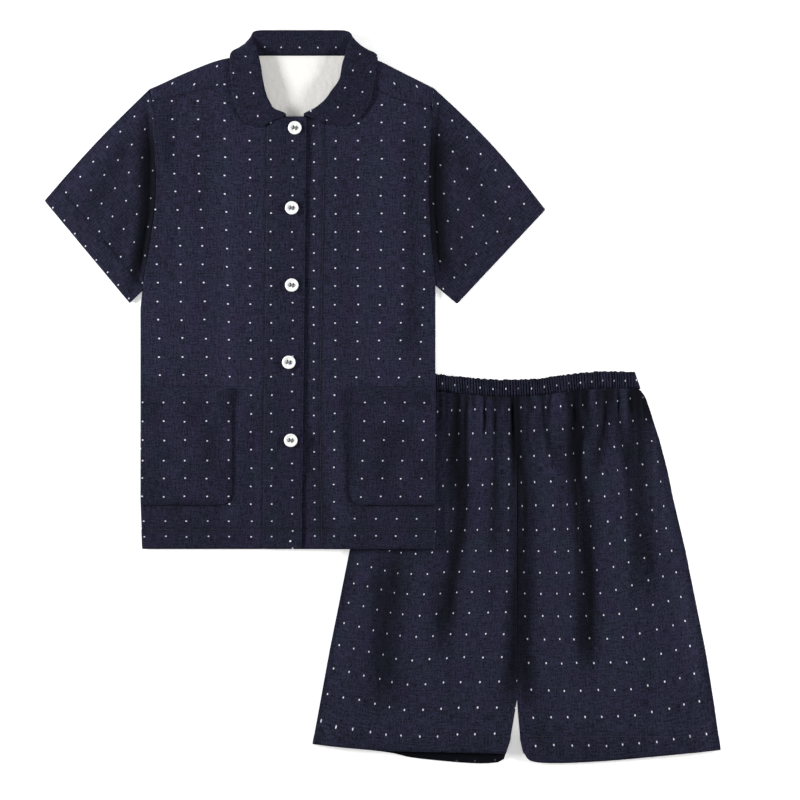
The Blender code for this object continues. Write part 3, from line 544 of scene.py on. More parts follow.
def collarMiddle():
    # up the stand, round the roll in a half circle, and down the leaf in a smooth step, at every station
    st = smoothCurve(collarStations, collar["perStation"])
    seam, roll, edge, tilt = st[:, 0:2], st[:, 2:5], st[:, 5:8], np.radians(st[:, 8])
    seamZ = shirtUpper(seam[:, 0], seam[:, 1]) + cloth["wall"] / 2
    seamZ = seamZ + 1.5 * ease((15 - abs(seam[:, 0] - 9)) / 8) * (seam[:, 1] < 600)
    behind = ease((np.degrees(tilt) - 100) / 50)
    seamZ = seamZ * (1 - behind) + (shirtFloor(seam[:, 0], seam[:, 1]) + cloth["wall"] / 2) * behind
    away = roll[:, :2] - seam
    short = np.linalg.norm(away, axis=1)
    flat = np.column_stack([away / np.maximum(short, 1e-6)[:, None], np.zeros(len(st))])
    side = np.column_stack([edge[:, :2] - roll[:, :2], np.zeros(len(st))])
    side /= np.linalg.norm(side, axis=1)[:, None]
    toLeaf = side * np.sin(tilt)[:, None] + np.array([0, 0, 1.0]) * np.cos(tilt)[:, None]
    r = collar["roll"]
    back = np.minimum(r, short * 0.4)[:, None]
    start = np.column_stack([seam, seamZ])
    turnIn, turnOut = roll - flat * back - toLeaf * r, roll - flat * back + toLeaf * r
    t = np.linspace(0, 1, collar["stand"] + 1)[:, None, None]
    stand = start + (turnIn - start) * t
    stand[..., 2] = start[:, 2] + (turnIn[:, 2] - start[:, 2]) * np.sin(t[..., 0] * math.pi / 2)
    k = np.radians(np.linspace(-90, 90, collar["bend"] + 2)[1:-1])[:, None, None]
    bend = roll - flat * back + flat * back * 0.9 * np.cos(k) + toLeaf * r * np.sin(k)
    t = np.linspace(0, 1, collar["leaf"] + 1)[:, None, None]
    leaf = turnOut + (edge - turnOut) * t
    leaf[..., 2] = edge[:, 2] + (turnOut[:, 2] - edge[:, 2]) * (1 - ease(t[..., 0] * 1.1))
    floor = shirtTop(leaf[..., 0], leaf[..., 1]) + cloth["gap"] + cloth["clear"] + cloth["leaf"] / 2
    onFront = (tilt < 0.3)[None, :]
    leaf[..., 2] = np.where(onFront & (t[..., 0] > 0.2), np.maximum(leaf[..., 2], floor), leaf[..., 2])
    ripple = 0.35 * softNoise(leaf[..., 0], leaf[..., 1], 14, 21) * ease(t[..., 0] * 2) * (1 - t[..., 0] * 0.5)
    leaf[..., 2] += np.where(onFront, np.abs(ripple), 0)
    return np.concatenate([stand, bend, leaf]), roll


def thicken(middle, wall):
    # both sides of a wall about a middle surface, along its normals
    n = np.cross(np.gradient(middle, axis=0), np.gradient(middle, axis=1))
    n /= np.linalg.norm(n, axis=-1)[..., None]
    return middle + n * wall / 2, middle - n * wall / 2


collarMid, collarRoll = collarMiddle()
downEach = np.concatenate([np.zeros((1, collarMid.shape[1])),
                           np.cumsum(np.linalg.norm(np.diff(collarMid, axis=0), axis=-1), axis=0)])
runAlong = np.r_[0, np.cumsum(np.linalg.norm(np.diff(collarRoll[:, :2], axis=0), axis=1))]
rim = np.minimum(np.arange(len(collarMid))[::-1] / 5, 1)[:, None]
ends = np.minimum(np.minimum(np.arange(collarMid.shape[1]), np.arange(collarMid.shape[1])[::-1]) / 6, 1)[None, :]
puffed = cloth["leaf"] * (0.72 + 0.28 * np.sqrt(rim * (2 - rim)) * np.sqrt(ends * (2 - ends)))
edgeLine = 1 - np.exp(-((downEach[-1] - downEach - 4.5) / 1.1) ** 2) * 0.28     # topstitch near the leaf's edge
collarOuter, collarInner = thicken(collarMid, (puffed * edgeLine)[..., None])
collarUv = np.stack([np.broadcast_to((runAlong - runAlong[len(runAlong) // 2]) * 1.25, downEach.shape) + 2,
                     (downEach - 9.0) * 1.0], -1)
# painted shade, even over the whole collar
piece = clothMesh("collarPiece", collarOuter, collarInner, collarUv, shirtAt, [navyGauze],
                  paintedShade=0.28)
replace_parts(piece, "collar")
print("collar made")

neckLine = smoothCurve(collarStations, 4)[:, :2]
neckLine = neckLine + normals2(neckLine) * 1.3
neckLine[:, 1] = np.maximum(neckLine[:, 1], shirt["neckY"] - 0.5)

# ---- Fronts
pocket = {"top": 216.0, "foot": 59.0, "round": 17.0, "mouth": 21.0, "left": (-197.6, -75.6), "right": (83.7, 197.6)}
frontGrid = {"across": 3.0, "up": 3.4, "pivot": 75.0, "bend": 380.0, "rowsTop": 600.0}


def frontPanel(name, sign, edgeX, stitch, top, arm, base, wall, columns, uvShift, paintedShadeAt):
    # columns keep their distance from the opening near it and stretch to the side beyond a pivot;
    # rows are level low down and bend up to the neck and shoulder seam
    p = np.array(top, float)
    run = np.r_[0, np.cumsum(np.linalg.norm(np.diff(p, axis=0), axis=1))]
    far = abs(edgeAt(arm, 100) - edgeX(0.0))
    c0 = abs(p[:, 0] - p[0, 0])
    nearNeck = c0 < frontGrid["pivot"] - 8
    knee = int(np.argmin(nearNeck))
    beyond = c0[knee] + (run - run[knee]) * (far - c0[knee]) / (run[-1] - run[knee])
    cTop = np.where(np.arange(len(p)) < knee, np.minimum.accumulate(c0[::-1])[::-1], beyond)
    c = finer(0, far, frontGrid["across"], [stitch])
    c = np.sort(np.unique(np.clip(c, 0, far)))
    r = finer(0, frontGrid["rowsTop"], frontGrid["up"], [shirt["hemTurn"]])
    topX, topY = np.interp(c, cTop, p[:, 0]), np.interp(c, cTop, p[:, 1])
    w = (np.clip((r - frontGrid["bend"]) / (frontGrid["rowsTop"] - frontGrid["bend"]), 0, 1) ** 1.6)[:, None]
    y = r[:, None] + w * (topY - frontGrid["rowsTop"])[None, :]
    e, a = edgeX(y), edgeAt(arm, y)
    pivot = frontGrid["pivot"]
    stretch = (abs(e - a) - pivot) / (far - pivot)
    x = e + sign * (np.minimum(c, pivot) + np.maximum(c - pivot, 0) * stretch)
    x = x * (1 - w ** 2) + topX * w ** 2
    x[:, -1] = a[:, -1] * (1 - w[:, 0] ** 2) + topX[-1] * w[:, 0] ** 2
    low = base(x, y)
    high = low + wall(x, y) + crumple(x, y, 31)
    low = low + crumple(x, y, 31) * 0.8
    u, v = frontDots(x, y, columns)
    outer, inner = np.stack([x, y, high], -1), np.stack([x, y, low], -1)
    uv = np.stack([u, v + uvShift(x, y)], -1)
    # painted shade for this front
    paintedShade = paintedShadeAt(x, y)
    if sign < 0:
        outer, inner, uv, paintedShade = outer[:, ::-1], inner[:, ::-1], uv[:, ::-1], paintedShade[:, ::-1]
    middleX, middleY = (outer[:-1, :-1, k] + outer[1:, 1:, k] for k in (0, 1))
    turned = (abs(middleX / 2 - edgeX(middleY / 2)) < stitch) | (middleY / 2 < shirt["hemTurn"])
    return clothMesh(name, outer, inner, uv, shirtAt, [navyGauze, insideGauze], turned=turned,
                     paintedShade=paintedShade)


half = len(neckLine) // 2
leftNeck = neckLine[:half][neckLine[:half, 1] < 633]
leftNeck = leftNeck[leftNeck[:, 0] < openX(582) - 2]
topRight = np.vstack([[(openX(582.0), 581.7)], leftNeck,
                      spread([(x, y - 0.5) for x, y in shirt["forwardLeft"]], 40)[::-1]])
rightNeck = neckLine[::-1][:half]
rightNeck = rightNeck[rightNeck[:, 1] < 631]
topLeft = np.vstack([[(lineX(582.0) - shirt["underFacing"], 581.7)], rightNeck,
                     spread([(x, y - 0.5) for x, y in shirt["forwardRight"]], 40)])


rightColumns = [(15, -165, -137, -107, -79, -49, -22, 6.3), (257, -173.6, -142, -110, -79, -50, -22, 6.3),
                (408, -177, -145, -115, -82, -51, -23, 6.3), (505, -181, -153.5, -120, -85, -51, -23, 6.3),
                (600, -182, -156, -122, -86, -51, -23, 6.3)]     # a height, then the columns' places at it
leftColumns = [(15, 36, 62, 90.6, 119.2, 145.7, 172.7), (257, 35, 63.6, 93.2, 122.2, 150.8, 178.3),
               (335, 35, 64, 94.5, 124.5, 154.5, 183.2), (440, 35.2, 64, 94.8, 126, 157.1, 184.8)]


def shiftRight(x, y):
    # rows crowd together just above the hem, and the opening strip's own rows have crept along it
    strip = 6.8 * np.interp(y, [0, 110, 430], [1.0, 1.0, 0.0]) + np.interp(y, [20, 47, 70, 110], [1.8, 3.6, 2.6, 0.0])
    towardsSide = np.interp(y, [40, 100, 257, 400], [0.0, 1.5, 3.0, 5.2]) * ease((-66 - x) / 40)
    return (-strip * ease((x + 24) / 26) - np.interp(y, [16, 36.5, 60, 84], [5.7, 1.5, 0.6, 0.0]) - towardsSide)


def shiftLeft(x, y):
    towardsSide = np.interp(y, [240, 320, 420, 560], [0.0, 3.6, 5.8, 6.0]) * ease((x - 162) / 20)
    crowded = np.interp(y, [17, 40, 63, 86, 120], [7.0, 5.1, 3.8, 2.0, 0.0])
    return np.interp(y, [0, 130, 520], [0.8, 2.5, 4.4]) * ease((48 - x) / 12) - crowded + towardsSide


def paintedShadeLaid(x, y):
    # painted shade on the laid shirt: darker in its folds, beside the pockets' edges, at the forward seams, along the
    # sides by the armholes, over the lower front and at the hem's stitch line; painted highlight on its ridges and in
    # two bands down the chest
    folds = np.clip(-0.16 * creases(x, y, shirtFolds), -0.35, 0.4)
    chestHighlight = -0.3 * np.exp(-((x + 79) / 13) ** 2) * ease((y - 180) / 60) - 0.12 * np.exp(-((x - 134) / 18) ** 2)
    side = toSide(x, y, shirt["armLeft"], shirt["armRight"])
    pocketEdgeShadow = 0
    for x0, x1 in (pocket["left"], pocket["right"]):
        beside = np.hypot(np.maximum(np.maximum(x0 - x, x - x1), 0),
                          np.maximum(np.maximum(pocket["foot"] - y, y - pocket["top"]), 0))
        pocketEdgeShadow = pocketEdgeShadow + 0.5 * np.exp(-beside / 2.0) * (beside > 0)
    forward = np.where(x < 0, np.interp(x, *zip(*shirt["forwardLeft"])), np.interp(x, *zip(*shirt["forwardRight"])))
    seam = 0.5 * np.exp(-np.maximum(forward - y, 0) / 2.4)
    return (folds + chestHighlight + pocketEdgeShadow + seam + 0.3 * np.exp(-np.maximum(side, 0) / 7) * ease((y - 330) / 60)
            + 0.1 * ease((320 - y) / 180) + 0.2 * ease((250 - y) / 120) * ease((abs(x) - 40) / 60)
            + 0.3 * np.exp(-((y - shirt["hemTurn"]) / 2.2) ** 2))


def paintedShadeRight(x, y):
    # painted shade: darker over the facing past its stitch line, with a dark painted line along the stitch
    line = x - openX(y) + shirt["facing"]
    return paintedShadeLaid(x, y) + 0.16 * ease(line / 6) + 0.3 * np.exp(-(line / 3.5) ** 2)


def paintedShadeLeft(x, y):
    # painted shadow cast by the right front's opening edge beside it, and a dark painted line at the under facing's
    # stitch line
    past = np.maximum(x - openX(y), 0)
    return paintedShadeLaid(x, y) + 0.4 * np.exp(-past / 5) + 0.25 * np.exp(-((x - lineX(y)) / 3.5) ** 2)


piece = frontPanel("frontRight", -1, openX, shirt["facing"], topRight, shirt["armLeft"], frontRightBase, wallRight,
                   rightColumns, shiftRight, paintedShadeRight)
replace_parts(piece, "shirt_front_right")
piece = frontPanel("frontLeft", 1, lambda y: lineX(y) - shirt["underFacing"], shirt["underFacing"], topLeft,
                   shirt["armRight"], shirtUpper, wallLeft, leftColumns, shiftLeft, paintedShadeLeft)
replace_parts(piece, "shirt_front_left")
print("fronts made")

# ---- Back: the lower layer, carried over both shoulders to the forward seams
back = {"rows": 96, "left": 34, "neck": 30, "right": 30, "fold": 7, "yoke": 12}


def turnRows(edge, out, low, high, wall, degrees):
    # rows that carry a layer round a fold, from the lower one to the upper, as arcs about its centre line
    mid, r = (low + high) / 2, (high - low) / 2
    centre = edge - out * (r + wall)[:, None]
    k = np.radians(degrees)[:, None]

    def arc(radius):
        plan = centre[None] + out[None] * (radius * np.cos(k))[..., None]
        return np.dstack([plan, mid + radius * np.sin(k)])

    return arc(r + wall), arc(r), centre


leftTop = spread(smoothCurve(shirt["shoulderLeft"], 4), back["left"])
rightTop = spread(smoothCurve(shirt["shoulderRight"], 4), back["right"])
neckTop = np.array([(x, shirt["neckSeam"]) for x in np.linspace(-54.6, 91.2, back["neck"])[1:-1]])
nLeft, nRight = len(leftTop), len(rightTop)


def shoulderFold(line):
    low = shirtFloor(*line.T) + cloth["wall"]
    return turnRows(line, normals2(line), low, shirtUpper(*line.T), cloth["wall"] * np.ones(len(line)),
                    np.linspace(-70, 70, back["fold"]))


outL, inL, centreL = shoulderFold(leftTop)
outR, inR, centreR = shoulderFold(rightTop)
wholeTop = np.vstack([centreL, neckTop, centreR])
nCols = len(wholeTop)
t = np.linspace(0, 1, back["rows"])[:, None]
fTop = (wholeTop[:, 0] - wholeTop[0, 0]) / (wholeTop[-1, 0] - wholeTop[0, 0])
fHem = np.linspace(0, 1, nCols)
y = wholeTop[:, 1] * t
f = fHem + (fTop - fHem) * t
xLeft, xRight = edgeAt(shirt["armLeft"], y[:, :1]), edgeAt(shirt["armRight"], y[:, -1:])
xLeft[-1], xRight[-1] = wholeTop[0, 0], wholeTop[-1, 0]
x = xLeft + f * (xRight - xLeft)
floor = shirtFloor(x, y)
low = np.stack([x, y, floor], -1)
high = np.stack([x, y, floor + cloth["wall"] + 0.25 * np.abs(softNoise(x, y, 23, 8)) * ease((660 - y) / 20)], -1)
foldOut, foldIn = (np.zeros((back["fold"], nCols, 3)) for _ in range(2))
foldOut[:, :nLeft], foldIn[:, :nLeft] = outL, inL
foldOut[:, -nRight:], foldIn[:, -nRight:] = outR, inR
yokePlan = np.zeros((back["yoke"], nCols, 2))
t = np.linspace(0, 1, back["yoke"])[:, None, None]
yokePlan[:, :nLeft] = centreL + (spread(shirt["forwardLeft"], nLeft) - centreL) * t
yokePlan[:, -nRight:] = centreR + (spread(shirt["forwardRight"], nRight) - centreR) * t
yokePlan[:, nLeft - 1, 0] = np.minimum(yokePlan[:, nLeft - 1, 0], -54.4)
yokePlan[:, -nRight, 0] = np.maximum(yokePlan[:, -nRight, 0], np.interp(t[:, 0, 0], [0, 0.7, 1], [91.3, 91.3, 90.6]))
x, y = yokePlan[..., 0], yokePlan[..., 1]
yokeLow = shirtUpper(x, y)
seamSink = 0.25 * ease((t[..., 0] - 0.85) / 0.15)
yokeIn = np.stack([x, y, yokeLow], -1)
yokeOut = np.stack([x, y, yokeLow + cloth["wall"] + crumple(x, y, 31) - seamSink], -1)
outer = np.concatenate([low, foldOut, yokeOut])
inner = np.concatenate([high, foldIn, yokeIn])
keep = np.zeros((len(outer) - 1, nCols - 1), bool)
keep[:back["rows"] - 1] = True
keep[back["rows"] - 1:, :nLeft - 1] = True
keep[back["rows"] - 1:, -(nRight - 1):] = True
step = np.linalg.norm(np.diff(outer, axis=0), axis=-1)
step[step > 40] = 0
vBack = np.concatenate([np.zeros((1, nCols)), np.cumsum(step, axis=0)])
uv = np.stack([outer[..., 0] + 6.0, -vBack + 6], -1)
middleY = np.concatenate([low[:-1, :-1, 1], np.full((len(outer) - back["rows"], nCols - 1), 999.0)])
piece = clothMesh("backPiece", outer, inner, uv, shirtAt, [navyGauze, insideGauze], keep=keep,
                  turned=middleY < shirt["hemTurn"])
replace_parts(piece, "shirt_back")
print("back made")

# ---- Sleeves: one piece folded along its top edge, open at the hem
sleeveHem = 27.0
sleeves = {
    "Right": dict(shoulder=(-186.8, 619.6), tip=(-328, 469.8), hem=(-213.3, 332), bulge=3.0, arm="armLeft",
                  under=348.0, sign=-1, node="sleeve_right", area=0.0472, firstRow=2.5, rowStep=27.1, lean=0.15,
                  columns=(15.4, 38.2)),
    "Left": dict(shoulder=(197.5, 620.4), tip=(347, 457.7), hem=(228.2, 331), bulge=6.0, arm="armRight",
                 under=355.0, sign=1, node="sleeve_left", area=0.0508, firstRow=-3.0, rowStep=29.3, lean=0.111,
                 columns=(17.8, 44.5, 69.4, 90.5, 110.8, 131.6, 154.0, 175.6)),
}
sleeveFolds = {
    "Right": [([(-205, 560), (-238, 500), (-262, 440)], 13, -1.5), ([(-200, 480), (-226, 420), (-232, 372)], 11, -1.3),
              ([(-222, 580), (-262, 520), (-296, 462)], 14, 1.0), ([(-204, 400), (-214, 372), (-212, 348)], 8, -1.0)],
    "Left": [([(216, 560), (250, 498), (276, 434)], 13, -1.5), ([(208, 480), (232, 420), (244, 370)], 11, -1.3),
             ([(236, 585), (276, 520), (312, 452)], 14, 1.0), ([(212, 404), (224, 376), (228, 350)], 8, -1.0)],
}


def armholeDip(d):
    # height of the sleeve a distance d from its seam: over the seam's edge, down to the layer below, up again
    smooth = np.ones(9) / 9
    line = np.interp(d, [0, 1.5, 8, 12, 22, 30, 45, 60], [5.4, 5.0, 2.5, 2.3, 4.2, 5.2, 4.4, 3.9])
    return np.convolve(np.pad(line, 4, mode="edge"), smooth, mode="valid")


def sleeve(side):
    spec = sleeves[side]
    a = np.r_[0, np.linspace(0.012, 1, 78)]
    b = finer(0, 1, 0.0165, [0.855], near=(-0.013, -0.006, 0, 0.006, 0.013))
    shoulder, tip, hem = (np.array(spec[k], float) for k in ("shoulder", "tip", "hem"))
    ys = spec["under"] + (shoulder[1] - spec["under"]) * a
    armPoints = np.column_stack([edgeAt(shirt[spec["arm"]], ys) + spec["sign"] * 0.8, ys])
    hemPoints = hem + (tip - hem) * a[:, None]
    plan = armPoints[None] + (hemPoints - armPoints)[None] * b[:, None, None]
    along = tip - shoulder
    out = np.array([-along[1], along[0]]) / np.linalg.norm(along)
    out = out if out[1] > 0 else -out
    # the bow of the top edge is shared out over the columns near it
    plan += out * (spec["bulge"] * np.sin(math.pi * b))[:, None, None] * (a ** 4)[None, :, None]
    x, y = plan[..., 0], plan[..., 1]
    d = np.linalg.norm(plan - armPoints[None], axis=-1)
    toHem = np.linalg.norm(hemPoints[None] - plan, axis=-1)
    dip = np.interp(d, np.linspace(0, 60, 121), armholeDip(np.linspace(0, 60, 121)))
    ends = ease(a / 0.16) * ease((1 - a) / 0.11)
    free = ease((toHem + 12) / 40)
    body = dip + (creases(x, y, sleeveFolds[side]) + 0.5 * softNoise(x, y, 24, 13)) * ease((d - 18) / 20)
    low = cloth["wall"] + cloth["gap"] + ends * np.maximum(body * free, 0.1)
    hemLine = toHem - sleeveHem
    wall = cloth["wall"] + (cloth["double"] - cloth["wall"]) * ease((1.5 - hemLine) / 3) + stitched(hemLine, a * 200)
    edge = plan[:, -1]
    rows = len(b)
    lowEdge, highEdge = np.full(rows, cloth["wall"]), low[:, -1] + 0.3
    outs = np.repeat(out[None], rows, 0)
    foldOut, foldIn, centre = turnRows(edge, outs, lowEdge, highEdge, cloth["wall"] * np.ones(rows),
                                       np.linspace(75, -75, 7))
    plan[:, -1] = centre
    upOut = np.dstack([plan, low + wall + crumple(x, y, 33) * ends])
    upIn = np.dstack([plan, low])
    under = np.linspace(0, len(a) - 1, 20).astype(int)[::-1]
    flat = plan[:, under]
    lowOut, lowIn = (np.dstack([flat, np.full(flat.shape[:2], z)]) for z in (0.0, cloth["wall"]))
    outer = np.concatenate([upOut, foldOut.transpose(1, 0, 2), lowOut], axis=1)
    inner = np.concatenate([upIn, foldIn.transpose(1, 0, 2), lowIn], axis=1)
    # cloth place: square to the hem, and along it from the folded edge
    alongHem = (hem - tip) / np.linalg.norm(hem - tip)
    square = np.array([alongHem[1], -alongHem[0]])
    square = square if np.dot(square, shoulder - tip) > 0 else -square
    flatPlan = outer[..., :2] - tip
    u, v = flatPlan @ square, flatPlan @ alongHem
    v[:, upOut.shape[1] + 3:] *= -1
    rows = (u - spec["firstRow"]) * repeat[0] / spec["rowStep"]
    columns = longInterp(v + spec["lean"] * u, spec["columns"], np.arange(len(spec["columns"])))
    uv = np.stack([rows, columns * repeat[1]], -1)
    columnHem = np.concatenate([toHem, np.repeat(toHem[:, -1:], 7, 1), toHem[:, under]], axis=1)
    turned = columnHem[:-1, :-1] < sleeveHem
    # painted shade: dark beside the armhole seam, where the sleeve sinks, fading as it comes up again over about 32
    # mm; a little all over and at the hem's stitch line; lighter on the sleeve's ridges
    paintedShade = np.zeros(outer.shape[:2])
    paintedShade[:, :x.shape[1]] = (1.1 * (1 - ease((d - 13) / 32)) * ease((a - 0.02) / 0.2) * ease((0.96 - a) / 0.28)
                              + 0.12 + 0.16 * np.exp(-((toHem - sleeveHem) / 2.4) ** 2)
                              - 0.14 * creases(x, y, sleeveFolds[side]))
    piece = clothMesh("sleeve" + side, outer, inner, uv, shirtAt, [navyGauze, insideGauze],
                      turned=turned, paintedShade=paintedShade)
    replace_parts(piece, spec["node"])


sleeve("Right")
sleeve("Left")
print("sleeves made")

# ---- Pockets: single cloth, a turned hem at the mouth, the outer edge in the side seam
def pocketPiece(name, span, innerSide, top, columns, steps, slant, node):
    x0, x1 = span
    foot, r = pocket["foot"], pocket["round"]
    angles = np.radians(np.linspace(0, 90, 12))
    straight = finer(foot + r, pocket["top"], 3.2, [pocket["top"] - pocket["mouth"]])[1:]
    y = np.r_[foot + r * (1 - np.cos(angles)), straight]
    cut = np.where(y < foot + r, r - np.sqrt(np.maximum(r * r - (r - (y - foot)) ** 2, 0)), 0)
    f = np.r_[0, 0.006, np.linspace(0.016, 0.984, 44), 0.994, 1]
    left = x0 + (cut if innerSide < 0 else 0)
    right = x1 - (cut if innerSide > 0 else 0)
    x = left[:, None] + (right - left)[:, None] * f if innerSide < 0 else x0 + (right - x0)[:, None] * f
    y = np.repeat(y[:, None], len(f), 1)
    toInner = (x1 - x) if innerSide > 0 else (x - x0)
    toEdge = np.minimum(toInner, y - foot)
    puff = 0.9 * ease(toEdge / 22) * ease((pocket["top"] - y) / 14) + 0.5 * ease((y - pocket["top"] + 16) / 16)
    puff = (puff * ease(np.where(innerSide > 0, x - x0, x1 - x) / 18)
            + 0.3 * softNoise(x, y, 19, 17) * ease(toEdge / 10))
    low = top(x, y) + cloth["clear"] + np.maximum(puff, 0)
    mouth = pocket["top"] - pocket["mouth"] - y
    double = ease((1.5 - mouth) / 3)
    wall = (cloth["wall"] + 0.7 * double + stitched(mouth, x) + stitched(toInner - 2.2, y, 0.3)
            + stitched(y - foot - 2.2, x, 0.3))
    outer = np.stack([x, y, low + wall + crumple(x, y, 37)], -1)
    inner = np.stack([x, y, low], -1)
    pitch = (columns[-1] - columns[0]) / (steps[-1] - steps[0])
    far = x + slant * (pocket["top"] - y) / (pocket["top"] - foot)
    u = np.interp(far, columns, steps)
    u = np.where(far < columns[0], steps[0] + (far - columns[0]) / pitch, u)
    u = np.where(far > columns[-1], steps[-1] + (far - columns[-1]) / pitch, u)
    v = np.interp(y, [59, 70.2, 94.5, 118.8, 145.8, 171.5, 197, 216], [-5.45, -5, -4, -3, -2, -1, 0, 0.75])
    uv = np.stack([u * repeat[0], v * repeat[1]], -1)
    # painted shade: a little all over, uneven at random, dark along the pocket's edges and at the mouth's stitch line
    paintedShade = 0.24 + 0.22 * softNoise(x, y, 26, 18) + 0.35 * np.exp(-np.maximum(toEdge, 0) / 2.5)
    paintedShade = paintedShade + 0.1 * np.exp(-(mouth / 2.4) ** 2)
    piece = clothMesh(name, outer, inner, uv, shirtAt, [navyGauze, insideGauze],
                      turned=mouth[:-1, :-1] < 0, paintedShade=paintedShade)
    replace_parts(piece, node)


pocketPiece("pocketRight", pocket["left"], 1, frontRightTop, [-167, -139, -109, -80], [0, 1, 2, 3], 0, "pocket_right")
pocketPiece("pocketLeft", pocket["right"], -1, lambda x, y: frontLeftTop(x, y) + cloth["clear"],
            [105.3, 132.3, 158, 185], [0, 1, 2, 3], 7, "pocket_left")
print("pockets made")

# ---- Buttons: a turned disc with a raised rim, a dished face and four holes, sewn in two upright bars
button = {"places": [(9.5, 567), (5.4, 459), (5.4, 355), (1.4, 251), (4.1, 145.8)], "radius": 8.9, "height": 2.8,
          "hole": 1.05, "holeAt": 2.1, "lean": [12, 8, 10, 14, 9], "thread": 0.56}


def buttonPiece(k):
    bx, by = button["places"][k]
    base = float(frontRightTop(np.array(bx), np.array(by))) + cloth["clear"]
    r, h = button["radius"], button["height"]
    face = np.array([(0, 0.64), (0.1, 0.64), (0.2, 0.64), (0.3, 0.65), (0.4, 0.65), (0.5, 0.66), (0.6, 0.7),
                     (0.68, 0.8), (0.74, 0.92), (0.8, 0.985), (0.87, 1.0), (0.93, 0.97), (0.975, 0.88), (1.0, 0.72),
                     (1.0, 0.55), (0.985, 0.42), (0.9, 0.2), (0.74, 0.03), (0.6, 0.0), (0.0, 0.0)])
    top = np.interp(np.linspace(0, 0.55, 26), face[:14, 0], face[:14, 1])
    radii = np.r_[np.linspace(0.004, 0.55, 26), face[6:-1, 0], 0.004] * r
    heights = np.r_[top, face[6:-1, 1], 0.0] * h
    turn = np.linspace(0, 2 * math.pi, 97)[:-1]
    x, y = radii[:, None] * np.cos(turn), radii[:, None] * np.sin(turn)
    z = np.repeat(heights[:, None], len(turn), 1)
    lean = math.radians(button["lean"][k])
    for sx in (-1, 1):
        for sy in (-1, 1):
            hx, hy = sx * button["holeAt"], sy * button["holeAt"]
            hx, hy = hx * math.cos(lean) + hy * math.sin(lean), hy * math.cos(lean) - hx * math.sin(lean)
            into = ease((button["hole"] - np.hypot(x - hx, y - hy)) / 0.28 + 0.5)
            z = np.where(np.arange(len(radii))[:, None] < 27, z - 1.45 * into, z)
    points = np.stack([x + bx + shirtAt[0], y + by + shirtAt[1], z + base], -1).reshape(-1, 3)
    n, m = len(radii), len(turn)
    ids = np.arange(n * m).reshape(n, m)
    ids = np.hstack([ids, ids[:, :1]])
    faces = np.stack([ids[:-1, :-1], ids[1:, :-1], ids[1:, 1:], ids[:-1, 1:]], -1).reshape(-1, 4)
    points = np.vstack([points, [bx + shirtAt[0], by + shirtAt[1], base + heights[0]],
                        [bx + shirtAt[0], by + shirtAt[1], base]])
    capTop = np.stack([np.full(m, n * m), ids[0, :-1], ids[0, 1:]], -1)
    capLow = np.stack([np.full(m, n * m + 1), ids[-1, 1:], ids[-1, :-1]], -1)
    mesh = bpy.data.meshes.new("buttonPiece%d" % (k + 1))
    mesh.from_pydata((points / 1000).tolist(), [], faces.tolist() + capTop.tolist() + capLow.tolist())
    mesh.materials.append(buttonFinish)
    mesh.shade_smooth()
    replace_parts(addPiece(mesh), "button_%d" % (k + 1))
    bars = []
    for sx in (-1, 1):
        for strand in (-0.35, 0.0, 0.35):
            ends = []
            for sy in (-1, 1):
                hx, hy = sx * button["holeAt"] + strand * 0.8, sy * (button["holeAt"] + 0.25)
                ends.append((bx + hx * math.cos(lean) + hy * math.sin(lean),
                             by + hy * math.cos(lean) - hx * math.sin(lean)))
            bars.append((ends, base + 0.64 * h + 0.15 + 0.25 * (strand == 0)))
    return bars


threadBars = [bar for k in range(len(button["places"])) for bar in buttonPiece(k)]


def capsules(middles, ways, ups, length, radius):
    # short rounded rods, six-sided: one template of rings and two poles, placed at every stitch
    ring = np.radians(np.arange(6) * 60)
    stations = np.array([-0.5, -0.42, -0.16, 0.16, 0.42, 0.5])
    size = np.array([0.0, 0.72, 1.0, 1.0, 0.72, 0.0])
    lift = np.array([-0.55, -0.15, 0.35, 0.35, -0.15, -0.55])
    pts = [(stations[0], 0, lift[0])]
    for s, g, u in zip(stations[1:-1], size[1:-1], lift[1:-1]):
        pts += [(s, g * math.cos(k), u + g * math.sin(k)) for k in ring]
    pts.append((stations[-1], 0, lift[-1]))
    template = np.array(pts)
    faces = []
    for k in range(6):
        m = (k + 1) % 6
        faces.append((0, 1 + m, 1 + k, 1 + k))
        for row in range(3):
            a, b = 1 + row * 6, 7 + row * 6
            faces.append((a + k, a + m, b + m, b + k))
        faces.append((19 + k, 19 + m, 25, 25))
    sides = np.cross(ups, ways)
    length = np.broadcast_to(length, len(middles))
    points = (middles[:, None] + ways[:, None] * (template[:, 0] * length[:, None])[..., None]
              + (sides[:, None] * template[:, 1][None, :, None]
                 + ups[:, None] * template[:, 2][None, :, None]) * radius)
    n = len(template)
    allFaces = (np.array(faces)[None] + (np.arange(len(middles)) * n)[:, None, None]).reshape(-1, 4)
    return points.reshape(-1, 3), [tuple(dict.fromkeys(f)) for f in allFaces.tolist()]


def rods(name, points, faces, finish, slot, at):
    mesh = bpy.data.meshes.new(name)
    mesh.from_pydata(((points + (*at, 0)) / 1000).tolist(), [], faces)
    mesh.materials.append(finish)
    mesh.shade_smooth()
    return addPiece(mesh)


ends = np.array([b[0] for b in threadBars])
middles = np.column_stack([ends.mean(axis=1), [b[1] for b in threadBars]])
ways = np.column_stack([ends[:, 1] - ends[:, 0], np.zeros(len(ends))])
lengths = np.linalg.norm(ways, axis=1)
ways /= lengths[:, None]
ups = np.repeat([[0, 0, 1.0]], len(ways), 0)
rods("buttonThreads", *capsules(middles, ways, ups, lengths, button["thread"]), darkThread, "shirt_cloth", shirtAt)
print("buttons made")


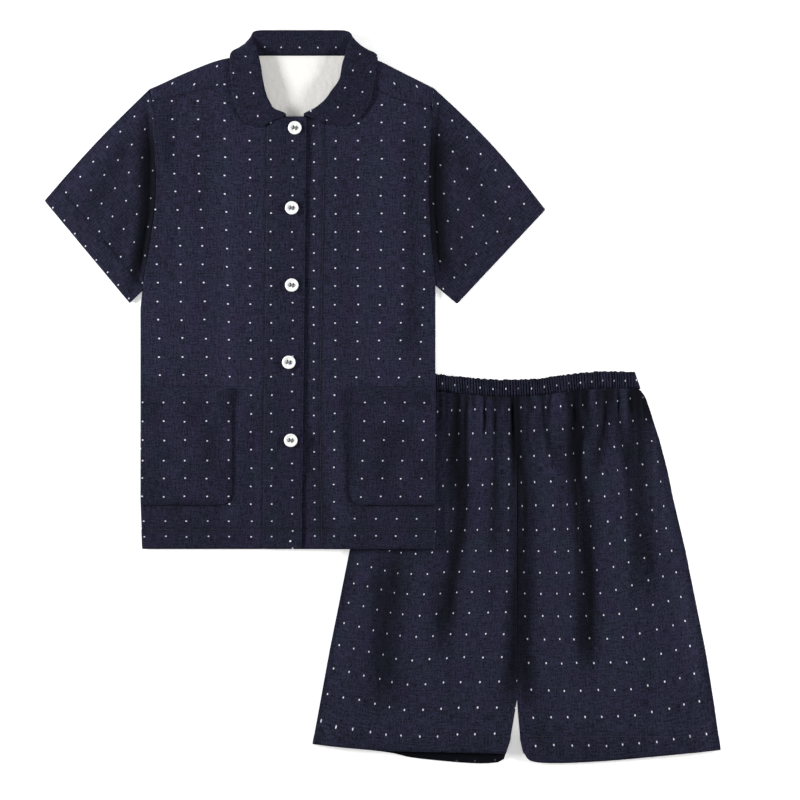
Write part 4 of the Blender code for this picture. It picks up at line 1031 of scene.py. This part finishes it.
def stitchRow(line, heightAt, pitch=3.2):
    # middles, directions and ups of stitches along a line drawn on a surface
    s = np.arange(pitch / 2, lengthOf(line), pitch)
    p, q = alongLine(line, s - pitch * 0.36), alongLine(line, s + pitch * 0.36)
    a = np.column_stack([p, heightAt(p[:, 0], p[:, 1])])
    b = np.column_stack([q, heightAt(q[:, 0], q[:, 1])])
    way = b - a
    way /= np.linalg.norm(way, axis=1)[:, None]
    side = np.cross([0, 0, 1.0], way)
    side /= np.linalg.norm(side, axis=1)[:, None]
    return (a + b) / 2, way, np.cross(way, side)


def stitches(name, rowsOf, slot, at, radius=0.26):
    middles, ways, ups = (np.concatenate(part) for part in zip(*rowsOf))
    return rods(name, *capsules(middles, ways, ups, 2.5, radius), navyThread, slot, at)


def crinkled(top, seed=31):
    return lambda x, y: top(x, y) + crumple(x, y, seed) + 0.12


ySpan = np.linspace(3, 578, 120)
rowsOf = [
    stitchRow(np.column_stack([openX(ySpan) - shirt["facing"], ySpan]), crinkled(frontRightTop)),
    stitchRow(np.column_stack([lineX(ySpan[:112]), ySpan[:112]]), crinkled(frontLeftTop)),
    stitchRow([(-195, shirt["hemTurn"]), (16.5, shirt["hemTurn"])], crinkled(frontRightTop)),
    stitchRow([(20, shirt["hemTurn"]), (196, shirt["hemTurn"])], crinkled(frontLeftTop)),
]
stitches("shirtStitches", rowsOf, "shirt_cloth", shirtAt)
print("shirt stitches made")
tack = stitchRow([(3.5, 8.2), (3.5, 11.8)], lambda x, y: frontRightTop(x, y) + 0.35, pitch=3.6)
rods("placketTack", *capsules(*tack, 2.4, 1.25), tackThread, "shirt_cloth", shirtAt)     # holds the placket's foot

# ---- Shorts
shorts = {
    "sideLeft": [(17, -275.4), (76, -264.6), (143, -252.5), (210, -239), (278, -225.5), (460, -176.4), (478, -171),
                 (490, -166.5), (498, -162.5)],
    "sideRight": [(9, 274.1), (76, 264.6), (143, 253.8), (210, 240.3), (278, 226.8), (346, 210.6), (386, 202.5),
                  (427, 191.7), (470, 178), (484, 173), (491, 168.5), (498, 162.5)],
    "innerLeft": [(-8, -20), (22, -10.2), (62, -3.4), (80, -0.3), (510, -0.2)],
    "innerRight": [(-8, 12), (22, 5.0), (62, 1.4), (80, 0.3), (510, 0.2)],
    "waist": 162.0, "waistY": 508.0, "dip": 10.5, "band": 22.0, "hemTurn": 28.0, "air": 6.6,
}
shortsFolds = [   # line from the waist down, half width, height: first the deep ones, then gathers, then ridges
    ([(-80, 492), (-80, 450), (-80, 400), (-74, 325), (-84, 260), (-92, 215), (-110, 130)], 10, -5.6),
    ([(1, 492), (1, 440), (2, 400), (6, 330), (4, 250), (-1, 200), (-4, 140), (-9, 60)], 11, -6.6),
    ([(77, 492), (77, 450), (79, 400), (88, 325), (93, 260), (95, 220), (94, 140), (92, 100)], 11, -6.8),
    ([(163, 488), (160, 440), (158, 400), (160, 325), (168, 270), (172, 210)], 12, -4.2),
    ([(-170, 300), (-172, 230), (-177, 140), (-178, 50)], 15, -5.0),
    ([(-31, 492), (-30, 450), (-28, 400), (-31, 325), (-34, 250)], 7, -4.4),
    ([(14, 260), (14, 200), (14, 140), (17, 50)], 9, -4.2),
    ([(-9, 490), (-9, 450), (-10, 400)], 5, -3.8), ([(-44, 490), (-45, 455), (-47, 420)], 5, -4.0),
    ([(-66, 490), (-68, 450), (-68, 320)], 5, -3.2), ([(-105, 490), (-107, 440)], 6, -3.2),
    ([(34, 490), (36, 450), (46, 410), (48, 370)], 6, -3.8), ([(45, 490), (41, 450)], 4, -2.4),
    ([(92, 490), (93, 450), (90, 410)], 5, -4.2), ([(119, 490), (117, 450), (109, 400), (104, 370)], 6, -4.0),
    ([(136, 490), (137, 450), (143, 400), (147, 360)], 6, -3.6), ([(20, 488), (18, 455)], 4, -2.6),
    ([(62, 490), (60, 462)], 4, -2.4), ([(-22, 490), (-24, 462)], 4, -2.6), ([(-56, 488), (-57, 466)], 4, -2.4),
    ([(106, 490), (107, 466)], 4, -2.6), ([(150, 488), (151, 460)], 4, -2.4), ([(174, 486), (182, 440)], 7, -3.0),
    ([(-58, 470), (-58, 400), (-56, 320), (-58, 230), (-56, 90)], 12, 1.8),
    ([(-18, 470), (-19, 400), (-12, 320), (-18, 240), (-24, 130), (-30, 60)], 10, 1.4),
    ([(30, 440), (33, 400), (42, 320), (42, 240), (44, 140), (60, 60)], 15, 2.6),
    ([(128, 440), (131, 400), (124, 320), (122, 240), (122, 140), (118, 50)], 15, 2.2),
    ([(206, 260), (208, 210), (214, 130), (226, 60)], 17, 1.6),
    ([(-208, 230), (-222, 160), (-240, 70)], 16, 1.4), ([(-128, 250), (-140, 140), (-118, 60)], 15, 1.6),
    ([(-36, 240), (-34, 200)], 8, -1.6), ([(68, 230), (64, 190)], 9, -1.4), ([(20, 50), (30, 26), (42, 12)], 9, -2.0),
]
grain = {   # where the lengthwise lines of dots run: a height, then x line by line out from the inner leg
    "left": [(31, -5, -30, -57, -81, -107, -131, -157, -177, -198, -223, -246, -268),
             (102, 0, -24, -50, -76, -99, -123, -147, -169, -186, -208, -230, -252),
             (195, 8, -15, -39, -65, -86, -108, -131, -154, -171, -189, -209, -230),
             (306, 10, -12, -35, -54, -70, -89, -110, -130, -152, -166, -186, -205),
             (402, 11, -11, -34, -42, -63, -81, -94, -112, -130, -146, -162, -178),
             (470, 11, -11, -30, -42, -57, -77, -88, -107, -124, -140, -155, -170)],
    "right": [(15, 25, 49, 74, 97, 120, 142, 165, 189, 212, 235, 258, 281),
              (90, 19, 42, 63, 85, 109, 131, 153, 177, 201, 221, 243, 265),
              (190, 11, 34, 55, 72, 93, 116, 138, 162, 186, 208, 225, 247),
              (306, 8, 26, 50, 68, 82, 100, 123, 143, 165, 188, 201, 222),
              (405, 5, 22, 43, 66, 76, 89, 112, 134, 143, 166, 189, 205),
              (473, 5, 24, 38, 58, 74, 88, 107, 120, 135, 153, 170, 186)],
    "leftRows": (31, 67, 102, 135, 166, 195, 223, 250, 278, 306, 335, 367, 401, 436, 468),
    "rightRows": (15.5, 54, 90, 127, 159, 190, 220, 248, 277, 306, 339, 370, 405, 440, 471),
}


def waistY(x):
    middle = shorts["dip"] * (1 - np.cos(math.pi * np.minimum(abs(x) / 120, 1))) / 2
    return shorts["waistY"] + middle - 4.0 * np.exp(-((x + 80) / 56) ** 2)


def belowBand(x, y):
    return np.maximum(waistY(x) - shorts["band"] - y, 0)


def fallingFolds(x, y, breadth=1.0):
    # the folds that fall from the elastic: the listed ones, fine gathers that fade, and soft waves between
    below = belowBand(x, y)
    wander = x + 3.0 * softNoise(x, y, 70, 44)
    gathers = 2.2 * softNoise(wander, y * 0.05, 4.2, 41) * np.exp(-(below / 40) ** 1.5)
    gathers += 1.5 * softNoise(wander, y * 0.05, 8.5, 42) * np.exp(-(below / 130) ** 1.5)
    broad = 0.7 * softNoise(x, y * 0.25, 19, 45) + 0.35 * softNoise(x, y * 0.4, 10, 46)
    widen = breadth * (0.75 + 0.35 * ease((475 - y) / 150))
    return 0.85 * creases(x, y, shortsFolds, fade=85, fullAbove=480, widen=widen) + gathers + broad


def paintedShadeShorts(x, y):
    # painted shade on the front legs: in their folds, in random streaks under the gathers, a painted shadow under the
    # band, darker up high, along the sides and at the hem's stitch line; painted highlight on the ridges
    below = belowBand(x, y)
    side = toSide(x, y, shorts["sideLeft"], shorts["sideRight"])
    shadeStreaks = softNoise(x + 2.5 * softNoise(x, y, 60, 47), y * 0.06, 5.0, 48) * (0.1 + 0.32 * np.exp(-below / 150))
    return (np.clip(-0.2 * fallingFolds(x, y, 1.3), -0.25, 0.95) + shadeStreaks + 0.2 * np.exp(-below / 4)
            + 0.08 * ease((y - 300) / 160) + 0.4 * np.exp(-np.maximum(side, 0) / 6)
            + 0.22 * np.exp(-((y - shorts["hemTurn"]) / 2.2) ** 2))


def shortsRelief(x, y):
    # height of the front legs' underside above the back's top: folds that fall from the gathers
    side = toSide(x, y, shorts["sideLeft"], shorts["sideRight"])
    below = belowBand(x, y)
    body = shorts["air"] + 0.85 * fallingFolds(x, y, 1.25)
    body = 0.3 + np.log1p(np.exp((body - 0.3) * 1.6)) / 1.6      # never below the back, with a soft knee
    body = np.minimum(body, 11.5) * ease((side + 2) / 34) * ease(y / 60 + 0.42)
    near = ease((26 - below) / 26)
    body = body * (1 - 0.55 * near) + 0.9 * near
    covered = ease((-62 - x) / 30) * ease((y - 236) / 24)
    return body * (1 - 0.72 * covered)


def legWall(x, y):
    line = y - shorts["hemTurn"]
    return (cloth["wall"] + (cloth["double"] - cloth["wall"]) * ease((1.5 - line) / 3)
            + stitched(line, x, 0.4) - 0.35 * np.exp(-(x / 1.3) ** 2) * (y > 78))


def shortsTop(x, y):
    return cloth["wall"] + cloth["gap"] + shortsRelief(x, y) + legWall(x, y)


def legUv(x, y, left):
    # the cloth's grain: lines across rise towards the sides, lines down crowd together in the gathers
    if left:
        rise = 0.2 * np.maximum(-165 - x, 0) * ease((y - 10) / 50) - 4.0 * np.exp(-((x + 135) / 40) ** 2)
    else:
        slope = np.interp(y, [15, 54, 90, 370, 405, 440, 471], [0.13, 0.2, 0.25, 0.26, 0.22, 0.15, 0.12])
        start = np.interp(y, [130, 160, 220, 250, 300, 370, 471], [152, 140, 118, 100, 82, 70, 58])
        rise = slope * np.log1p(np.exp((x - start) / 12)) * 12
    rows = grain["leftRows" if left else "rightRows"]
    row = longInterp(y - rise, rows, np.arange(len(rows)))
    table = grain["left" if left else "right"]
    return row * repeat[0], columnAt(x, y, table, left) * repeat[1]


def leg(name, left, hem, front, node, area):
    x0, x1 = (-163, -0.2) if left else (0.2, 163)
    cols, rows = (112, 150) if front else (36, 60)
    r = np.linspace(0, 1, rows)
    if front:
        lineAt = shorts["hemTurn"] / 486
        r = finer(0, 1, 1 / rows, [lineAt], near=(-0.006, -0.003, 0, 0.003, 0.006))
    topXs = np.linspace(x0, x1, cols)
    topYs = waistY(topXs) - shorts["band"] - 2 * cloth["gap"]
    hemPoints = smoothCurve(hem, 8)
    f = np.linspace(0, 1, cols)
    hemY = np.interp(f, (hemPoints[:, 0] - hem[0][0]) / (hem[-1][0] - hem[0][0]), hemPoints[:, 1])
    y = hemY + (topYs - hemY) * r[:, None]
    leftTable, rightTable = ("sideLeft", "innerLeft") if left else ("innerRight", "sideRight")
    xs = edgeAt(shorts[leftTable], y[:, :1]), edgeAt(shorts[rightTable], y[:, -1:])
    x = xs[0] + f * (xs[1] - xs[0])
    x[-1] = topXs
    if front:
        low = cloth["wall"] + cloth["gap"] + shortsRelief(x, y)
        high = low + legWall(x, y) + crumple(x, y, 51)
    else:
        low = np.zeros(x.shape)
        high = low + cloth["wall"] + 0.8 * ease((30 - y) / 8)
    u, v = legUv(x, y, left)
    outer, inner = np.stack([x, y, high], -1), np.stack([x, y, low], -1)
    if not front:
        outer, inner = inner, outer
    turned = y[:-1, :-1] < shorts["hemTurn"]
    # painted shade: the front legs take theirs from the folds; the back legs, seen only through the leg openings, are
    # painted deep in shade, their dots faded out
    piece = clothMesh(name, outer, inner, np.stack([u, v], -1), shortsAt, [shortsGauze, insideGauze],
                      turned=turned, paintedShade=paintedShadeShorts(x, y) if front else 1.6)
    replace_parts(piece, node)


hemFrontLeft = [(-275.4, 17.4), (-190, 9.5), (-90, 6.5), (-18, 5)]
hemBackLeft = [(-275.4, 17.4), (-178, 6.8), (-140, -1), (-67, -8), (-30, -7.5), (-20, -3)]
hemFrontRight = [(7, 6), (26, -7), (113, -5.4), (274.1, 9.5)]
hemBackRight = [(7, 7), (26, -4.5), (113, -3), (274.1, 9.5)]
leg("frontLegRight", True, hemFrontLeft, True, "shorts_front_right", 0.1101)
leg("frontLegLeft", False, hemFrontRight, True, "shorts_front_left", 0.114)
leg("backLegRight", True, hemBackLeft, False, "shorts_back_right", 0.1115)
leg("backLegLeft", False, hemBackRight, False, "shorts_back_left", 0.1131)
print("legs made")

# ---- Waistband: a flat tube of cloth shirred on elastic, folded at both sides
waist = {"ripple": 1.9, "pitch": 3.6, "depth": 0.7, "scallop": 0.9, "across": 15, "along": 420, "fold": 7}


def waistband():
    # rows run round the ring, columns from the upper edge to the lower one
    x = np.linspace(-shorts["waist"], shorts["waist"], waist["along"])
    s = np.linspace(0, 1, waist["across"])
    top = np.stack([x, waistY(x)], -1)
    scallop = waist["scallop"] * softNoise(x, 0 * x, waist["ripple"], 61)
    slant = np.sign(x[:, None]) * abs(x[:, None] / shorts["waist"]) ** 10 * (s - 0.5) * 6
    lips = scallop[:, None] * (np.exp(-s / 0.12) - np.exp(-(1 - s) / 0.12))
    plan = np.stack([x[:, None] + slant, top[:, 1:] - shorts["band"] * s + lips], -1)
    w, z0 = cloth["band"], cloth["band"] + cloth["gap"]
    ends = ease(np.minimum(x + shorts["waist"], shorts["waist"] - x) / 8)[:, None]
    lift = 0.3 * np.sin(np.linspace(0, math.pi, len(x)))[:, None]
    bulge = np.sqrt(np.maximum(1 - np.abs(2 * s - 1) ** 3, 0)) * 2.4 - 1.2
    place = plan[..., 0] + 1.4 * softNoise(plan[..., 0], plan[..., 1] * 0.3, 11, 63) + 0.06 * plan[..., 1]
    uneven = 0.75 + 0.45 * softNoise(plan[..., 0], plan[..., 1] * 0.3, 7, 66)
    shirr = waist["depth"] * uneven * np.sin(2 * math.pi * place / waist["pitch"])
    shirr = shirr + 0.35 * softNoise(plan[..., 0], plan[..., 1] * 0.1, 5.2, 64)
    high = z0 + w + lift + (bulge + shirr) * ends
    upOut = np.dstack([plan, high])
    upIn = np.dstack([plan, np.full(high.shape, z0) + lift])
    lowOut = np.dstack([plan, np.zeros(high.shape)])[::-1]
    lowIn = np.dstack([plan, np.full(high.shape, w)])[::-1]

    def endFold(side, column):
        edge = plan[column] + np.array([side * 0.2, 0]) + np.outer(s, [side * 1.4, 0])
        out = np.repeat([[side, 0.0]], len(s), 0)
        return turnRows(edge, out, np.full(len(s), w), np.full(len(s), z0), w * np.ones(len(s)),
                        np.linspace(72, -72, waist["fold"]))

    rightOut, rightIn = endFold(1, -1)[:2]
    leftOut, leftIn = endFold(-1, 0)[:2]
    outer = np.concatenate([upOut[1:-1], rightOut, lowOut[1:-1], leftOut[::-1]])
    inner = np.concatenate([upIn[1:-1], rightIn, lowIn[1:-1], leftIn[::-1]])
    column = np.interp(outer[..., 0], [-162, -85.6, 1.7, 53.8, 100.7, 160.5, 163], [-9.7, -5.1, 0, 3, 6, 10, 10.15])
    column = np.vstack([column, column[:1]])
    across = np.broadcast_to((s - 0.52) * shorts["band"], column.shape)
    uv = np.stack([across, column * repeat[1]], -1)
    # painted shade in the shirring's hollows and toward both edges of the band, painted highlight on its ridges
    paintedShade = np.zeros(outer.shape[:2])
    paintedShade[:len(x) - 2] = (0.25 - 0.75 * shirr + 0.5 * np.abs(2 * s - 1) ** 5)[1:-1]
    piece = clothMesh("bandPiece", outer, inner, uv, shortsAt, [shortsGauze], ring=True,
                      paintedShade=paintedShade)
    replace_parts(piece, "waistband")


waistband()
print("waistband made")

rowsOf = [
    stitchRow([(x0, shorts["hemTurn"]), (x1, shorts["hemTurn"])], crinkled(shortsTop, 51))
    for x0, x1 in ((-268, -12), (10, 266))
]
stitches("shortsStitches", rowsOf, "shorts_cloth", shortsAt)
print("shorts stitches made")

# ---- Setting: pale floor, a long soft light each side, a weak one overhead, camera straight down
setting = {"look": (0.0236, -0.0047), "height": 4.0, "lens": 4000 / 30.0, "floorDrop": 0.0002, "floor": 6.0}
floorMesh = bpy.data.meshes.new("floor")
floorMesh.from_pydata([(setting["floor"] * sx, setting["floor"] * sy, -setting["floorDrop"])
                       for sx, sy in ((-1, -1), (1, -1), (1, 1), (-1, 1))], [], [(0, 1, 2, 3)])
floorPiece = bpy.data.objects.new("floor", floorMesh)
bpy.context.scene.collection.objects.link(floorPiece)
# a lit table, so no grey pools by the cloth
floorMesh.materials.append(newFinish("palePaper", **{
    "Base Color": linear("#f6f6f5"), "Roughness": 0.95, "Specular IOR Level": 0.1, "Emission Color": (1, 1, 1, 1),
    "Emission Strength": 0.4})[0])


def softLight(name, place, target, size, power):
    data = bpy.data.lights.new(name, "AREA")
    data.shape = "RECTANGLE"
    data.size, data.size_y = size
    data.energy = power
    light = bpy.data.objects.new(name, data)
    light.location = place
    way = np.array(target, float) - place
    across = math.atan2(way[1], way[0])
    down = math.acos(-way[2] / np.linalg.norm(way))
    light.rotation_euler = (down, 0, across - math.pi / 2)
    bpy.context.scene.collection.objects.link(light)
    return light


softLight("leftLight", (-2.8, 0.35, 0.85), (0, 0, 0), (1.6, 0.4), 155)
softLight("rightLight", (2.8, 0.2, 0.8), (0, 0, 0), (1.6, 0.4), 128)
softLight("topLight", (0, 1.2, 3.2), (0, 0, 0), (1.6, 1.6), 6)
world = bpy.data.worlds.new("studio")
bpy.context.scene.world = world
world.use_nodes = True
world.node_tree.nodes["Background"].inputs["Color"].default_value = (1, 1, 1, 1)
world.node_tree.nodes["Background"].inputs["Strength"].default_value = 0.2
bpy.context.scene.view_settings.view_transform = "Standard"

cameraData = bpy.data.cameras.new("camera")
cameraData.lens = setting["lens"]
camera = bpy.data.objects.new("camera", cameraData)
camera.location = (*setting["look"], setting["height"])
bpy.context.scene.collection.objects.link(camera)
bpy.context.scene.camera = camera
print("setting made")
